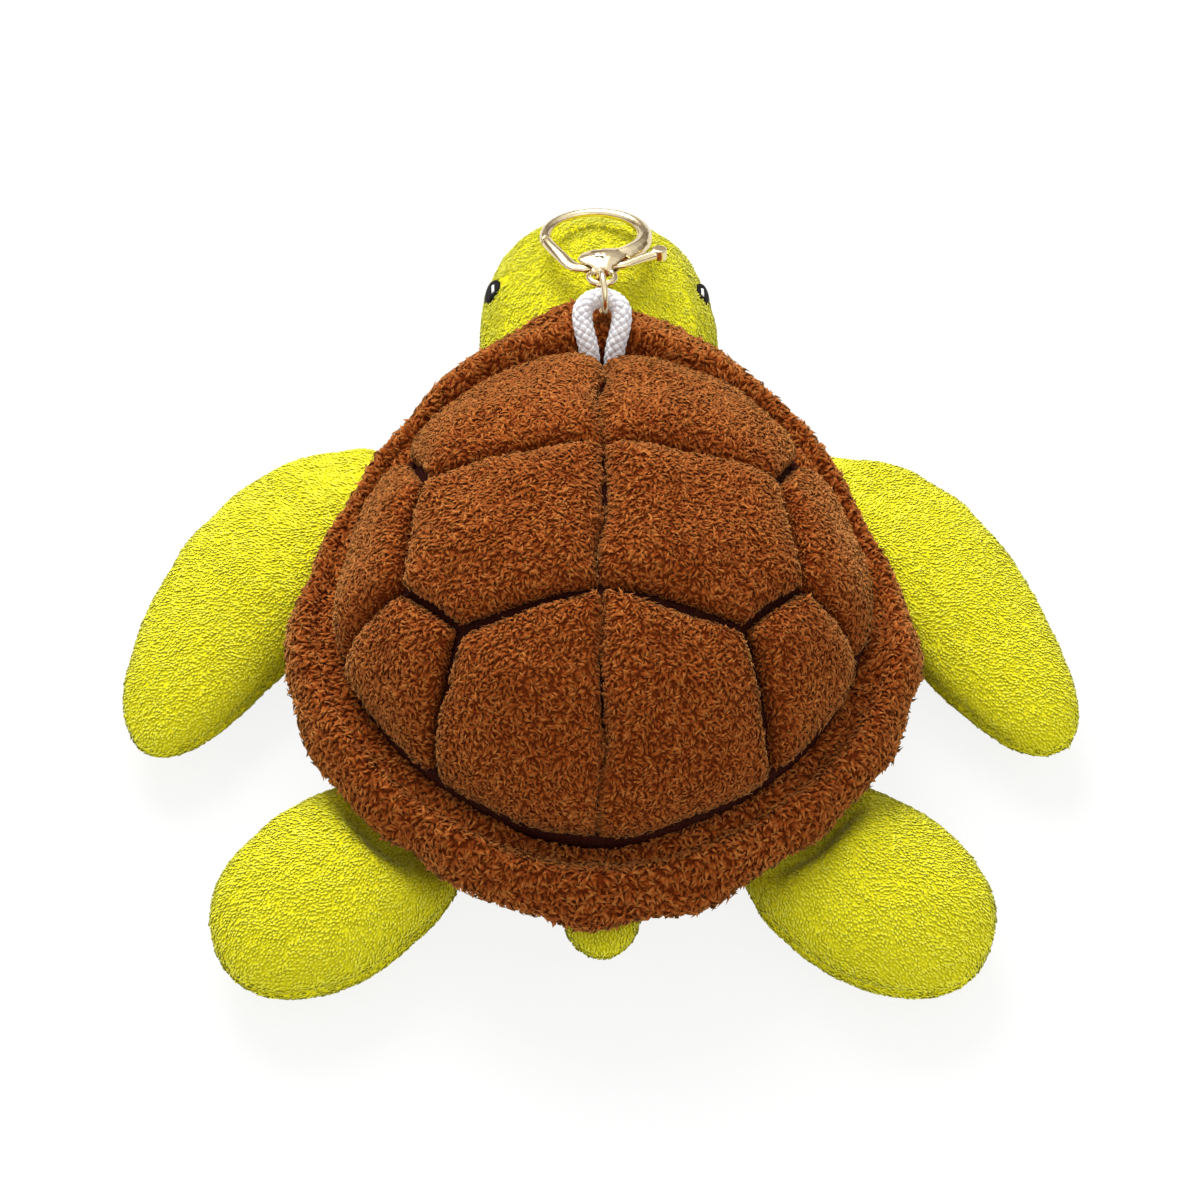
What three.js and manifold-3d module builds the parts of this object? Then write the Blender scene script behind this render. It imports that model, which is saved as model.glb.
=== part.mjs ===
// A small plush sea turtle that hangs from a trigger clasp. Ten stuffed scutes make the quilted
// shell, a puffed brim runs round it, and belly, head, four flippers and tail are soft pieces sewn
// under the brim. A cord loop sewn in behind the head carries a jump ring and the clasp.
// Millimetres, +Z up, head towards +Y. The origin lies under the middle of the flat belly.
import * as THREE from 'three';
import { mergeVertices } from 'three/addons/utils/BufferGeometryUtils.js';
import Module from 'manifold-3d';

// Clearances
const seamGap = 0.5;
const cutGap = 0.4;
const fillingGap = 0.8;
const cordGap = 0.35;
const linkGap = 0.3;
const pivotGap = 0.2;

// Shell: the dome of scutes, measured from its widest place
const domeHalfWidth = 45;
const domeMiddleY = -3;
const domeFrontReach = 52.5;
const domeRearReach = 44.5;
const domeBaseHeight = 25;
const domeTopHeight = 53;
const domeFrontFullness = 1.95;
const domeRearFullness = 1.75;
const scuteThickness = 6.2;
const quiltDepth = 3.2;

// Where the quilting seams meet, as shares of the way from the dome's top to its base
const archMiddleShares = [0, 0.26];
const archSideShares = [0.5, 0.255];
const flankCornerShares = [0.555, -0.105];
const rearArchSideShares = [0.385, -0.27];
const rearArchMiddleShares = [0, -0.16];
const archEndDeg = 40;
const flankEndDeg = -15.5;
const rearEndDeg = -49.5;
const frontEndDeg = 90;
const backEndDeg = -90;
const footShare = 0.999;

// Brim: a puffed roll round the foot of the dome
const brimHalfWidth = 7.2;
const brimFrontHalfWidth = 8.3;
const brimRearHalfWidth = 8.8;
const brimHalfHeight = 5.2;
const brimSideOffset = 1.1;
const brimMiddleY = -8;
const brimFrontOffset = 7.8;
const brimRearOffset = 2.4;
const brimFrontFullness = 1.6;
const brimRearFullness = 1.58;
const brimSeamDeg = -30;
const brimSeamDepth = 1.1;

// The shell's front edge arches up over the neck
const archLift = 6.9;
const archStartY = 5;

// Belly: a soft bowl under the brim, resting on its flattened underside
const bellyInset = 6.5;
const bellyWall = 2.6;
const bellyFlat = 0.5;
const bellyFullness = 2;
const bellyRoundness = 0.45;

// Head, from the neck seam, tucked in under the brim, to the nose
const neckTuck = 20;
const headDrop = 10;
const headLength = 63.7;
const headHalfWidth = 22;
const headHalfHeight = 13.8;
const headWidthShares = [0.74, 0.92, 1, 0.97, 0.87, 0.64];
const headHeightShares = [0.7, 0.86, 0.97, 1, 0.9, 0.62];
const headRiseShares = [0, 0, 0, 0, -0.06, -0.16];
const noseRoundShare = 0.3;
const headNodDownDeg = 12;

// Embroidered eyes, placed by how far along and how far round the head they lie
const eyeHalfWidth = 1.9;
const eyeHalfHeight = 4.1;
const eyeThickness = 0.8;
const eyeAlongShare = 0.62;
const eyeRoundDeg = 24;

// Front flippers: root, tip and sideways bow of the line down their middle
const frontRootX = 28;
const frontRootY = 30;
const frontTipX = 77.9;
const frontTipY = -16.5;
const frontRootHeight = 9.6;
const frontTipHeight = 8.2;
const frontHalfWidth = 16.8;
const frontHalfThickness = 6.6;
const frontBowShares = [0.1, 0.18, 0.18, 0.141, 0.064, 0];
const frontWidthShares = [0.74, 1, 1, 0.84, 0.67, 0.6];
const frontThicknessShares = [0.4, 0.72, 0.98, 1, 0.86, 0.7];
const frontRoundShare = 0.26;
const frontHeadingDeg = -80;

// Rear flippers: broad oval paddles
const rearRootX = 26;
const rearRootY = -21;
const rearTipX = 58.3;
const rearTipY = -61.4;
const rearRootHeight = 9.2;
const rearTipHeight = 8.6;
const rearHalfWidth = 16;
const rearHalfThickness = 7.4;
const rearBowShares = [0, -0.04, -0.045, -0.015, 0, 0];
const rearWidthShares = [0.64, 0.74, 0.94, 1, 0.93, 0.84];
const rearThicknessShares = [0.42, 0.68, 0.9, 1, 0.94, 0.8];
const rearRoundShare = 0.32;
const rearHeadingDeg = 34;
const flapUpDeg = 10;
const flapDownDeg = 22;

// Tail
const tailRootY = -40;
const tailTipY = -57.5;
const tailHeight = 9;
const tailHalfWidth = 6.4;
const tailHalfThickness = 3.6;
const tailWidthShares = [1.1, 1.08, 1.02, 0.94, 0.82, 0.62];
const tailRoundShare = 0.3;

// Cord loop: the right half of its middle line, from the seam at the dome's front to the bight.
// The points are measured from the foot of the dome there, raised with the front edge.
const cordDiameter = 3.7;
const cordHalfRoute = [
  [2.05, 0.5, -4.4],
  [2.1, 1.8, -2.2],
  [2.4, 3.3, -0.2],
  [3.05, 5.1, 1.5],
  [3.45, 7.1, 2.8],
  [3.2, 8.8, 3.8],
  [1.85, 10.0, 4.4],
];
const cordBight = [0, 10.4, 4.6];
const cordSpaceShare = 2.2;

// Jump ring, upright through the bight
const ringWire = 1.1;
const ringInnerRadius = 3.25;

// Clasp, in its own plane: x across, y from the eyelet to the hook's bend, z out of the plane
const claspSlopeDeg = 17.5;
const eyeletWire = 1.15;
const eyeletHoleRadius = 1.75;
const hookRadius = 9;
const hookShift = -1.3;
const hookReach = 17.6;
const hookHalfWidth = 1.05;
const hookHalfThickness = 0.85;
const hookStartDeg = -78;
const hookEndDeg = 200;
const hookWidthShares = [1.6, 1.55, 1.25, 1, 0.88, 0.92, 1.05];
const hookThicknessShares = [1.9, 1.8, 1.35, 1, 0.78, 0.85, 1.1];
const cheekStart = 3.7;
const cheekLength = 7.7;
const cheekHalfWidth = 4.7;
const cheekHalfThickness = 1.9;
const cheekWidthShares = [0.36, 0.68, 0.95, 1.02, 1, 0.8];
const cheekThicknessShares = [0.42, 0.78, 0.97, 1, 0.95, 0.8];
const cheekShiftShares = [0.04, -0.06, -0.1, 0, 0.16, 0.34];
const cheekRoundShare = 0.24;
const leverThickness = 1.2;
const leverPivotX = -0.4;
const leverPivotY = 7.1;
const leverHubRadius = 2;
const gateJointDeg = 192;
const gateOverrunDeg = 9;
const gateKneeShares = [[0.42, -0.14], [0.76, 0.42]];
const gateHalfWidth = 1.08;
const gateWidthShares = [1.5, 1.3, 1.2, 1.1, 1, 1];
const gateThicknessShares = [1, 1, 1, 1.45, 1.6, 1.55];
const thumbReachX = 10.7;
const thumbReachY = 3.9;
const thumbKneeShares = [[0.34, -0.1], [0.68, 0.47]];
const thumbHalfWidth = 0.95;
const thumbWidthShares = [1.15, 1, 1, 0.95];
const thumbThicknessShares = [1, 1, 1.3, 1.5];
const thumbKnobRadius = 1.3;
const thumbKnobThickness = 2.1;
const neckTop = 4.9;
const neckFallShare = 0.4;
const webX = 1.9;
const webY = 8.9;
const pinRadius = 0.7;
const springWire = 0.3;
const springTurns = 2;
const springPocketDepth = 0.75;

// How finely the pieces are faceted
const loopSteps = 24;
const brimSteps = 36;
const brimSides = 12;
const limbSteps = 11;
const limbSides = 14;
const headSides = 14;
const wireSides = 8;
const ringSteps = 28;
const hookSteps = 30;
const hookSides = 10;
const pinSides = 16;
const springStepsPerTurn = 10;
const springSides = 5;
const sweepSteps = 3;
const edgeSteps = 5;
const scuteRingShares = [0.45, 0.75, 0.92, 1];
const backShares = [0.99, 0.5];
const seamSharpness = 24;
const bulgeShares = [0.2, 0.4, 0.6, 0.78, 0.92, 1];

// Colours of the pieces
const lime = new THREE.MeshStandardMaterial({ color: 0xdede2e, roughness: 0.95, metalness: 0 });
const brown = new THREE.MeshStandardMaterial({ color: 0x9a4e1e, roughness: 0.95, metalness: 0 });
const white = new THREE.MeshStandardMaterial({ color: 0xf2f0f6, roughness: 0.8, metalness: 0 });
const fibre = new THREE.MeshStandardMaterial({ color: 0xf4f1ea, roughness: 1, metalness: 0 });
const black = new THREE.MeshStandardMaterial({ color: 0x15120f, roughness: 0.6, metalness: 0 });
const gold = new THREE.MeshStandardMaterial({ color: 0xd8bd84, roughness: 0.25, metalness: 1 });
const steel = new THREE.MeshStandardMaterial({ color: 0xb9b9b6, roughness: 0.3, metalness: 1 });

const wasm = await Module();
wasm.setup();
const rad = THREE.MathUtils.degToRad;
const vec = (x, y, z) => new THREE.Vector3(x, y, z);

// Closed meshes from points and triangles, turned so that the faces point out
function solidFrom(points, faces) {
  const corner = vec(0, 0, 0);
  const sixfoldVolume = faces.reduce(
    (sum, [a, b, c]) => sum + points[a].dot(corner.crossVectors(points[b], points[c])), 0);
  const outward = sixfoldVolume < 0 ? faces.map(([a, b, c]) => [a, c, b]) : faces;
  const geometry = new THREE.BufferGeometry();
  const flat = points.flatMap((point) => point.toArray());
  geometry.setAttribute('position', new THREE.Float32BufferAttribute(flat, 3));
  geometry.setIndex(outward.flat());
  return geometry;
}

// Triangles between one ring of points and the next, ringStart being each ring's first index
function strip(ringStart, nextStart, count) {
  const faces = [];
  for (let i = 0; i < count; i++) {
    const j = (i + 1) % count;
    faces.push([ringStart + i, ringStart + j, nextStart + j]);
    faces.push([ringStart + i, nextStart + j, nextStart + i]);
  }
  return faces;
}

// A skin over a row of rings, closed at both ends on a point
function skin(rings, first, last) {
  const count = rings[0].length;
  const points = [first, ...rings.flat(), last];
  const faces = [];
  for (let i = 0; i < count; i++) {
    const j = (i + 1) % count;
    const top = 1 + (rings.length - 1) * count;
    faces.push([0, 1 + j, 1 + i]);
    faces.push([points.length - 1, top + i, top + j]);
  }
  for (let ring = 1; ring < rings.length; ring++) {
    faces.push(...strip(1 + (ring - 1) * count, 1 + ring * count, count));
  }
  return solidFrom(points, faces);
}

// A skin over rings that follow a closed line
function band(rings) {
  const count = rings[0].length;
  const faces = [];
  rings.forEach((ring, k) => {
    faces.push(...strip(k * count, ((k + 1) % rings.length) * count, count));
  });
  return solidFrom(rings.flat(), faces);
}

// A smooth value between evenly spaced ones
function between(values, share) {
  const place = Math.min(Math.max(share, 0), 1) * (values.length - 1);
  const k = Math.min(Math.floor(place), values.length - 2);
  const before = values[Math.max(k - 1, 0)];
  const after = values[Math.min(k + 2, values.length - 1)];
  return catmull(before, values[k], values[k + 1], after, place - k);
}

function catmull(before, from, to, after, t) {
  const leave = (to - before) / 2;
  const arrive = (after - from) / 2;
  const cubic = 2 * from - 2 * to + leave + arrive;
  const square = -3 * from + 3 * to - 2 * leave - arrive;
  return ((cubic * t + square) * t + leave) * t + from;
}

// How much of its section a form keeps near its rounded end
function rounding(share, roundShare) {
  const past = Math.max(0, (share - (1 - roundShare)) / roundShare);
  return Math.sqrt(Math.max(0, 1 - past * past));
}

// Shares along a form, closer together towards its rounded end
function stations(steps, roundShare) {
  const shares = [];
  for (let k = 0; k < steps; k++) {
    const straight = (1 - roundShare) * k / (steps / 2);
    const turn = Math.sin((k - steps / 2 + 1) / (steps / 2 + 1) * Math.PI / 2);
    shares.push(k < steps / 2 ? straight : 1 - roundShare + roundShare * turn);
  }
  return shares;
}

// Booleans
function solidOf(geometry) {
  const bare = geometry.clone();
  bare.deleteAttribute('normal');
  bare.deleteAttribute('uv');
  const merged = mergeVertices(bare);
  const triVerts = Uint32Array.from(merged.index.array);
  const vertProperties = Float32Array.from(merged.attributes.position.array);
  return new wasm.Manifold(new wasm.Mesh({ numProp: 3, vertProperties, triVerts }));
}

function geometryOf(solid) {
  const mesh = solid.getMesh();
  const geometry = new THREE.BufferGeometry();
  const positions = Array.from(mesh.vertProperties);
  geometry.setAttribute('position', new THREE.Float32BufferAttribute(positions, 3));
  geometry.setIndex(Array.from(mesh.triVerts));
  return geometry;
}

function cut(geometry, cutters) {
  return geometryOf(cutters.reduce((left, cutter) => left.subtract(solidOf(cutter)), solidOf(geometry)));
}

// The largest body left by a cut, without the offcuts between the cutters
function trimmed(geometry, cutters) {
  const bodies = solidOf(cut(geometry, cutters)).decompose();
  return geometryOf(bodies.reduce((most, body) => (body.volume() > most.volume() ? body : most)));
}

function join(geometries) {
  const [first, ...others] = geometries.map(solidOf);
  return geometryOf(others.reduce((whole, other) => whole.add(other), first));
}

// The cutters as a piece sees them while it turns about its hinge
function sweep(cutters, pivot, axis, lowDeg, highDeg) {
  const swept = [];
  for (let k = 0; k <= sweepSteps; k++) {
    const angle = -rad(THREE.MathUtils.lerp(lowDeg, highDeg, k / sweepSteps));
    const turn = new THREE.Matrix4().makeTranslation(pivot)
      .multiply(new THREE.Matrix4().makeRotationAxis(axis, angle))
      .multiply(new THREE.Matrix4().makeTranslation(pivot.clone().negate()));
    swept.push(...cutters.map((cutter) => cutter.clone().applyMatrix4(turn)));
  }
  return swept;
}

// Shell surfaces: an outline round the dome and the bulge that rises or sinks from it
const signedPower = (value, power) => Math.sign(value) * Math.abs(value) ** power;

function outline(form, angle, grow) {
  const ahead = Math.sin(angle) > 0;
  const power = 2 / (ahead ? form.frontFullness : form.rearFullness);
  const reach = (ahead ? form.frontReach : form.rearReach) + grow;
  return {
    x: (form.halfWidth + grow) * signedPower(Math.cos(angle), power),
    y: form.middleY + reach * signedPower(Math.sin(angle), power),
  };
}

const brimForm = {
  halfWidth: domeHalfWidth + brimSideOffset,
  middleY: brimMiddleY,
  frontReach: domeMiddleY + domeFrontReach + brimFrontOffset - brimMiddleY,
  rearReach: brimMiddleY - (domeMiddleY - domeRearReach) + brimRearOffset,
  frontFullness: brimFrontFullness,
  rearFullness: brimRearFullness,
};
const brimHeight = domeBaseHeight - cutGap - brimHalfHeight;
const brimFrontY = brimForm.middleY + brimForm.frontReach;
const headNeckY = brimFrontY - neckTuck;
const headHeight = domeBaseHeight - headDrop;

function lift(y) {
  const share = Math.max(0, (y - archStartY) / (brimFrontY - archStartY));
  return archLift * share * share;
}

const domeForm = {
  halfWidth: domeHalfWidth,
  middleY: domeMiddleY,
  frontReach: domeFrontReach,
  rearReach: domeRearReach,
  frontFullness: domeFrontFullness,
  rearFullness: domeRearFullness,
};

function bulge(form, p, q, grow, base, top) {
  const share = Math.min(1, Math.hypot(p, q)) * Math.PI / 2;
  const edge = outline(form, Math.atan2(q, p), grow);
  const y = form.middleY + (edge.y - form.middleY) * Math.sin(share);
  const foot = base + lift(y);
  return vec(edge.x * Math.sin(share), y, foot + (top + grow - foot) * Math.cos(share));
}

const onDome = (p, q, grow) => bulge(domeForm, p, q, grow, domeBaseHeight, domeTopHeight);

// Scutes: puffed pads between the quilting seams
const onEdge = (deg) => [Math.cos(rad(deg)), Math.sin(rad(deg))];
const scuteCorners = {
  scute_front: [archMiddleShares, archSideShares, onEdge(archEndDeg), onEdge(frontEndDeg)],
  scute_middle: [archMiddleShares, archSideShares, flankCornerShares, rearArchSideShares,
    rearArchMiddleShares],
  scute_rear: [rearArchMiddleShares, rearArchSideShares, onEdge(rearEndDeg), onEdge(backEndDeg)],
  scute_side_front: [archSideShares, onEdge(archEndDeg), onEdge(flankEndDeg), flankCornerShares],
  scute_side_rear: [flankCornerShares, onEdge(flankEndDeg), onEdge(rearEndDeg), rearArchSideShares],
};

// The seam line round a scute, which follows the dome's foot between two corners on it
function seamLoop(corners) {
  const line = [];
  const steps = Math.round(loopSteps / corners.length);
  corners.forEach(([p, q], i) => {
    const [nextP, nextQ] = corners[(i + 1) % corners.length];
    const onFoot = Math.hypot(p, q) > footShare && Math.hypot(nextP, nextQ) > footShare;
    for (let k = 0; k < steps; k++) {
      const share = k / steps;
      const here = [THREE.MathUtils.lerp(p, nextP, share), THREE.MathUtils.lerp(q, nextQ, share)];
      const size = onFoot ? Math.hypot(...here) : 1;
      line.push([here[0] / size, here[1] / size]);
    }
  });
  return line;
}

// The loop drawn in by half the gap between scutes
function drawnIn(line, distance) {
  const count = line.length;
  return line.map(([p, q], i) => {
    const [lastP, lastQ] = line[(i + count - 1) % count];
    const [nextP, nextQ] = line[(i + 1) % count];
    const arriving = new THREE.Vector2(p - lastP, q - lastQ).normalize();
    const leaving = new THREE.Vector2(nextP - p, nextQ - q).normalize();
    const normal = new THREE.Vector2(arriving.y + leaving.y, -arriving.x - leaving.x).normalize();
    const spread = distance / Math.max(0.5, normal.x * leaving.y - normal.y * leaving.x);
    return [p - normal.x * spread, q - normal.y * spread];
  });
}

function scuteGeometry(corners, side) {
  const placed = corners.map(([p, q]) => [p * side, q]);
  const crossed = placed.reduce((sum, [p, q], i) => {
    const [nextP, nextQ] = placed[(i + 1) % placed.length];
    return sum + p * nextQ - q * nextP;
  }, 0);
  const ordered = crossed > 0 ? placed : placed.reverse();
  const millimetresPerShare = (domeTopHeight - domeBaseHeight) * Math.PI / 2;
  const line = drawnIn(seamLoop(ordered), seamGap / 2 / millimetresPerShare);
  const middle = line.reduce(([a, b], [p, q]) => [a + p / line.length, b + q / line.length], [0, 0]);
  const ringAt = (share, grow) => line.map(([p, q]) => onDome(
    THREE.MathUtils.lerp(middle[0], p, share), THREE.MathUtils.lerp(middle[1], q, share), grow));
  const fall = (share) => -quiltDepth * (1 - Math.sqrt(1 - share ** 4));
  const outer = scuteRingShares.map((share) => ringAt(share, fall(share)));
  const inner = backShares.map((share) => ringAt(share, -scuteThickness));
  return skin([...outer, ...inner], onDome(...middle, 0), onDome(...middle, -scuteThickness));
}

// The brim's roll, drawn in along its edge seam, or the roll grown to cut its neighbours
function brimRoll(grow) {
  const rings = [];
  for (let k = 0; k < brimSteps; k++) {
    const angle = 2 * Math.PI * (k + 0.5) / brimSteps;
    const small = Math.PI / brimSteps;
    const here = outline(brimForm, angle, 0);
    const before = outline(brimForm, angle - small, 0);
    const after = outline(brimForm, angle + small, 0);
    const out = new THREE.Vector2(after.y - before.y, before.x - after.x).normalize();
    const endHalfWidth = Math.sin(angle) > 0 ? brimFrontHalfWidth : brimRearHalfWidth;
    const halfWidth = THREE.MathUtils.lerp(brimHalfWidth, endHalfWidth, Math.sin(angle) ** 2);
    const ring = [];
    for (let i = 0; i < brimSides; i++) {
      const turn = 2 * Math.PI * i / brimSides;
      const nearSeam = Math.max(0, Math.cos(turn - rad(brimSeamDeg))) ** seamSharpness;
      const drawn = grow > 0 ? grow : -brimSeamDepth * nearSeam;
      const across = (halfWidth + drawn) * Math.cos(turn);
      const y = here.y + out.y * across;
      const z = brimHeight + (brimHalfHeight + drawn) * Math.sin(turn) + lift(y);
      ring.push(vec(here.x + out.x * across, y, z));
    }
    rings.push(ring);
  }
  return band(rings);
}

// The space of the whole dome with the gap round it, down to below the scutes' foot
function domeCutter(grow) {
  const rings = bulgeShares.map((share) => ringOf((p, q) => onDome(p, q, grow), share));
  const foot = ringOf((p, q) => onDome(p, q, grow).add(vec(0, 0, -grow)), 1);
  const under = vec(0, domeMiddleY, domeBaseHeight - grow);
  return skin([...rings, foot], onDome(0, 0, grow), under);
}

// The brim is pressed in where the cord's legs leave the seam behind it
function brimGeometry() {
  return cut(brimRoll(0), [domeCutter(cutGap), fillingGeometry(cutGap), cordSpace()]);
}

// Belly bowl and the fibre filling above it
const bellyTop = brimHeight - brimHalfHeight - cutGap;
const bellyForm = {
  halfWidth: brimForm.halfWidth - bellyInset,
  middleY: brimForm.middleY,
  frontReach: brimForm.frontReach - bellyInset,
  rearReach: brimForm.rearReach - bellyInset,
  frontFullness: bellyFullness,
  rearFullness: bellyFullness,
};

function ringOf(point, share) {
  const ring = [];
  for (let k = 0; k < loopSteps; k++) {
    const angle = 2 * Math.PI * (k + 0.5) / loopSteps;
    ring.push(point(share * Math.cos(angle), share * Math.sin(angle)));
  }
  return ring;
}

function bellyPoint(p, q, grow) {
  const share = Math.min(1, Math.hypot(p, q)) * Math.PI / 2;
  const edge = outline(bellyForm, Math.atan2(q, p), grow);
  const y = bellyForm.middleY + (edge.y - bellyForm.middleY) * Math.sin(share);
  const top = bellyTop + lift(y);
  const z = top - (top + bellyFlat + grow) * Math.max(0, Math.cos(share)) ** bellyRoundness;
  return vec(edge.x * Math.sin(share), y, grow > 0 ? z : Math.max(z, 0));
}

function bellyGeometry(grow, wall) {
  const outer = bulgeShares.map((share) => ringOf((p, q) => bellyPoint(p, q, grow), share));
  const inner = bulgeShares.map((share) => ringOf((p, q) => bellyPoint(p, q, -wall), share));
  return skin([...outer, ...inner.reverse()], bellyPoint(0, 0, grow), bellyPoint(0, 0, -wall));
}

// The whole underside with nothing hollow, for cutting the limbs
function bellyCutter(grow) {
  const under = bulgeShares.map((share) => ringOf((p, q) => bellyPoint(p, q, grow), share));
  const rim = ringOf((p, q) => bellyPoint(p, q, grow).add(vec(0, 0, grow)), 1);
  const over = vec(0, bellyForm.middleY, bellyTop + grow);
  return skin([...under, rim], bellyPoint(0, 0, grow), over);
}

// The filling presses out to the scutes above and to the belly's wall below
function fillingGeometry(grow) {
  const over = (p, q) => onDome(p, q, grow - scuteThickness - fillingGap);
  const under = (p, q) => bellyPoint(p, q, grow - bellyWall - fillingGap);
  const top = bulgeShares.map((share) => ringOf(over, share));
  const bottom = bulgeShares.map((share) => ringOf(under, share));
  return skin([...top, ...bottom.reverse()], over(0, 0), under(0, 0));
}

// A stuffed limb: oval sections along a bowed middle line, closed by a rounded end
function limbGeometry(limb) {
  const root = vec(limb.rootX, limb.rootY, limb.rootHeight);
  const tip = vec(limb.tipX, limb.tipY, limb.tipHeight);
  const length = root.distanceTo(tip);
  const sideways = vec(root.y - tip.y, tip.x - root.x, 0).normalize().multiplyScalar(limb.bowSide);
  const middle = (share) => root.clone().lerp(tip, share)
    .addScaledVector(sideways, between(limb.bowShares, share) * length);
  const step = 0.5 / limbSteps;
  const rings = stations(limbSteps, limb.roundShare).map((share) => {
    const ahead = middle(share + step).sub(middle(share - step)).normalize();
    const across = vec(-ahead.y, ahead.x, 0).normalize();
    const round = rounding(share, limb.roundShare);
    const halfWidth = limb.halfWidth * between(limb.widthShares, share) * round;
    const halfHeight = limb.halfThickness * between(limb.thicknessShares, share) * round;
    return ovalRing(middle(share), across, vec(0, 0, 1), halfWidth, halfHeight, limbSides);
  });
  return skin(rings, middle(0), middle(1));
}

function ovalRing(middle, across, up, halfWidth, halfHeight, sides) {
  const ring = [];
  for (let i = 0; i < sides; i++) {
    const turn = 2 * Math.PI * (i + 0.5) / sides;
    ring.push(middle.clone()
      .addScaledVector(across, halfWidth * Math.cos(turn))
      .addScaledVector(up, halfHeight * Math.sin(turn)));
  }
  return ring;
}

// Flippers turn about the seam that runs along the brim
const larger = () => [brimRoll(cutGap), bellyCutter(cutGap), fillingGeometry(cutGap)];

function flipperGeometry(limb) {
  const pivot = vec(limb.rootX, limb.rootY, limb.rootHeight);
  const heading = rad(limb.headingDeg);
  const axis = vec(Math.cos(heading) * limb.side, Math.sin(heading), 0).multiplyScalar(limb.axisSign);
  const swept = sweep(larger(), pivot, axis, -flapDownDeg, flapUpDeg);
  return trimmed(limbGeometry(limb), swept);
}

function frontLimb(side) {
  return {
    rootX: frontRootX * side, rootY: frontRootY, tipX: frontTipX * side, tipY: frontTipY,
    rootHeight: frontRootHeight, tipHeight: frontTipHeight, halfWidth: frontHalfWidth,
    halfThickness: frontHalfThickness, bowShares: frontBowShares, widthShares: frontWidthShares,
    thicknessShares: frontThicknessShares, roundShare: frontRoundShare, bowSide: side,
    headingDeg: frontHeadingDeg, side, axisSign: side,
  };
}

function rearLimb(side) {
  return {
    rootX: rearRootX * side, rootY: rearRootY, tipX: rearTipX * side, tipY: rearTipY,
    rootHeight: rearRootHeight, tipHeight: rearTipHeight, halfWidth: rearHalfWidth,
    halfThickness: rearHalfThickness, bowShares: rearBowShares, widthShares: rearWidthShares,
    thicknessShares: rearThicknessShares, roundShare: rearRoundShare, bowSide: side,
    headingDeg: rearHeadingDeg, side, axisSign: -side,
  };
}

// Head: egg-shaped, with a lowered nose, cut where the brim and belly hold its neck
function headSection(share, grow) {
  const round = rounding(share, noseRoundShare);
  return {
    middle: vec(0, headNeckY + headLength * share,
      headHeight + headHalfHeight * between(headRiseShares, share)),
    halfWidth: headHalfWidth * between(headWidthShares, share) * round + grow,
    halfHeight: headHalfHeight * between(headHeightShares, share) * round + grow,
  };
}

function headBlank(grow) {
  const rings = stations(limbSteps, noseRoundShare).map((share) => {
    const section = headSection(share, grow);
    return ovalRing(
      section.middle, vec(1, 0, 0), vec(0, 0, 1), section.halfWidth, section.halfHeight, headSides);
  });
  return skin(rings, headSection(0, 0).middle, headSection(1, 0).middle.add(vec(0, grow, 0)));
}

function headGeometry() {
  const pivot = vec(0, headNeckY, headHeight);
  return trimmed(headBlank(0), sweep(larger(), pivot, vec(1, 0, 0), -headNodDownDeg, 0));
}

function eyeGeometry(side) {
  const section = headSection(eyeAlongShare, 0);
  const round = rad(eyeRoundDeg);
  const x = section.halfWidth * Math.cos(round) * side;
  const z = section.middle.z + section.halfHeight * Math.sin(round);
  const out = vec(Math.cos(round) / section.halfWidth * side, 0, Math.sin(round) / section.halfHeight);
  const eye = new THREE.SphereGeometry(1, limbSides, limbSides / 2);
  eye.scale(eyeHalfWidth, eyeHalfHeight, eyeThickness + cutGap);
  const facing = new THREE.Matrix4().lookAt(out.normalize(), vec(0, 0, 0), vec(0, 0, 1));
  eye.applyMatrix4(facing);
  eye.translate(x, section.middle.y, z);
  return cut(eye, [headBlank(cutGap)]);
}

function tailGeometry() {
  const tail = limbGeometry({
    rootX: 0, rootY: tailRootY, tipX: 0, tipY: tailTipY, rootHeight: tailHeight,
    tipHeight: tailHeight, halfWidth: tailHalfWidth, halfThickness: tailHalfThickness,
    bowShares: [0, 0], widthShares: tailWidthShares, thicknessShares: tailWidthShares,
    roundShare: tailRoundShare, bowSide: 0,
  });
  return trimmed(tail, larger());
}

// Cord loop along its route, both legs sewn into the seam behind the brim
const cordSeam = vec(0, domeMiddleY + domeFrontReach, domeBaseHeight + archLift);
const cordRoute = [
  ...cordHalfRoute,
  cordBight,
  ...cordHalfRoute.map(([x, y, z]) => [-x, y, z]).reverse(),
].map((point) => vec(...point).add(cordSeam));

function circle(radius, sides) {
  const shape = new THREE.Shape();
  for (let i = 0; i < sides; i++) {
    const turn = 2 * Math.PI * i / sides;
    const to = [radius * Math.cos(turn), radius * Math.sin(turn)];
    if (i === 0) {
      shape.moveTo(...to);
    } else {
      shape.lineTo(...to);
    }
  }
  return shape;
}

function cordGeometry() {
  const path = new THREE.CatmullRomCurve3(cordRoute);
  const steps = 2 * cordRoute.length;
  return new THREE.ExtrudeGeometry(
    circle(cordDiameter / 2, wireSides), { steps, extrudePath: path, bevelEnabled: false });
}

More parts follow.
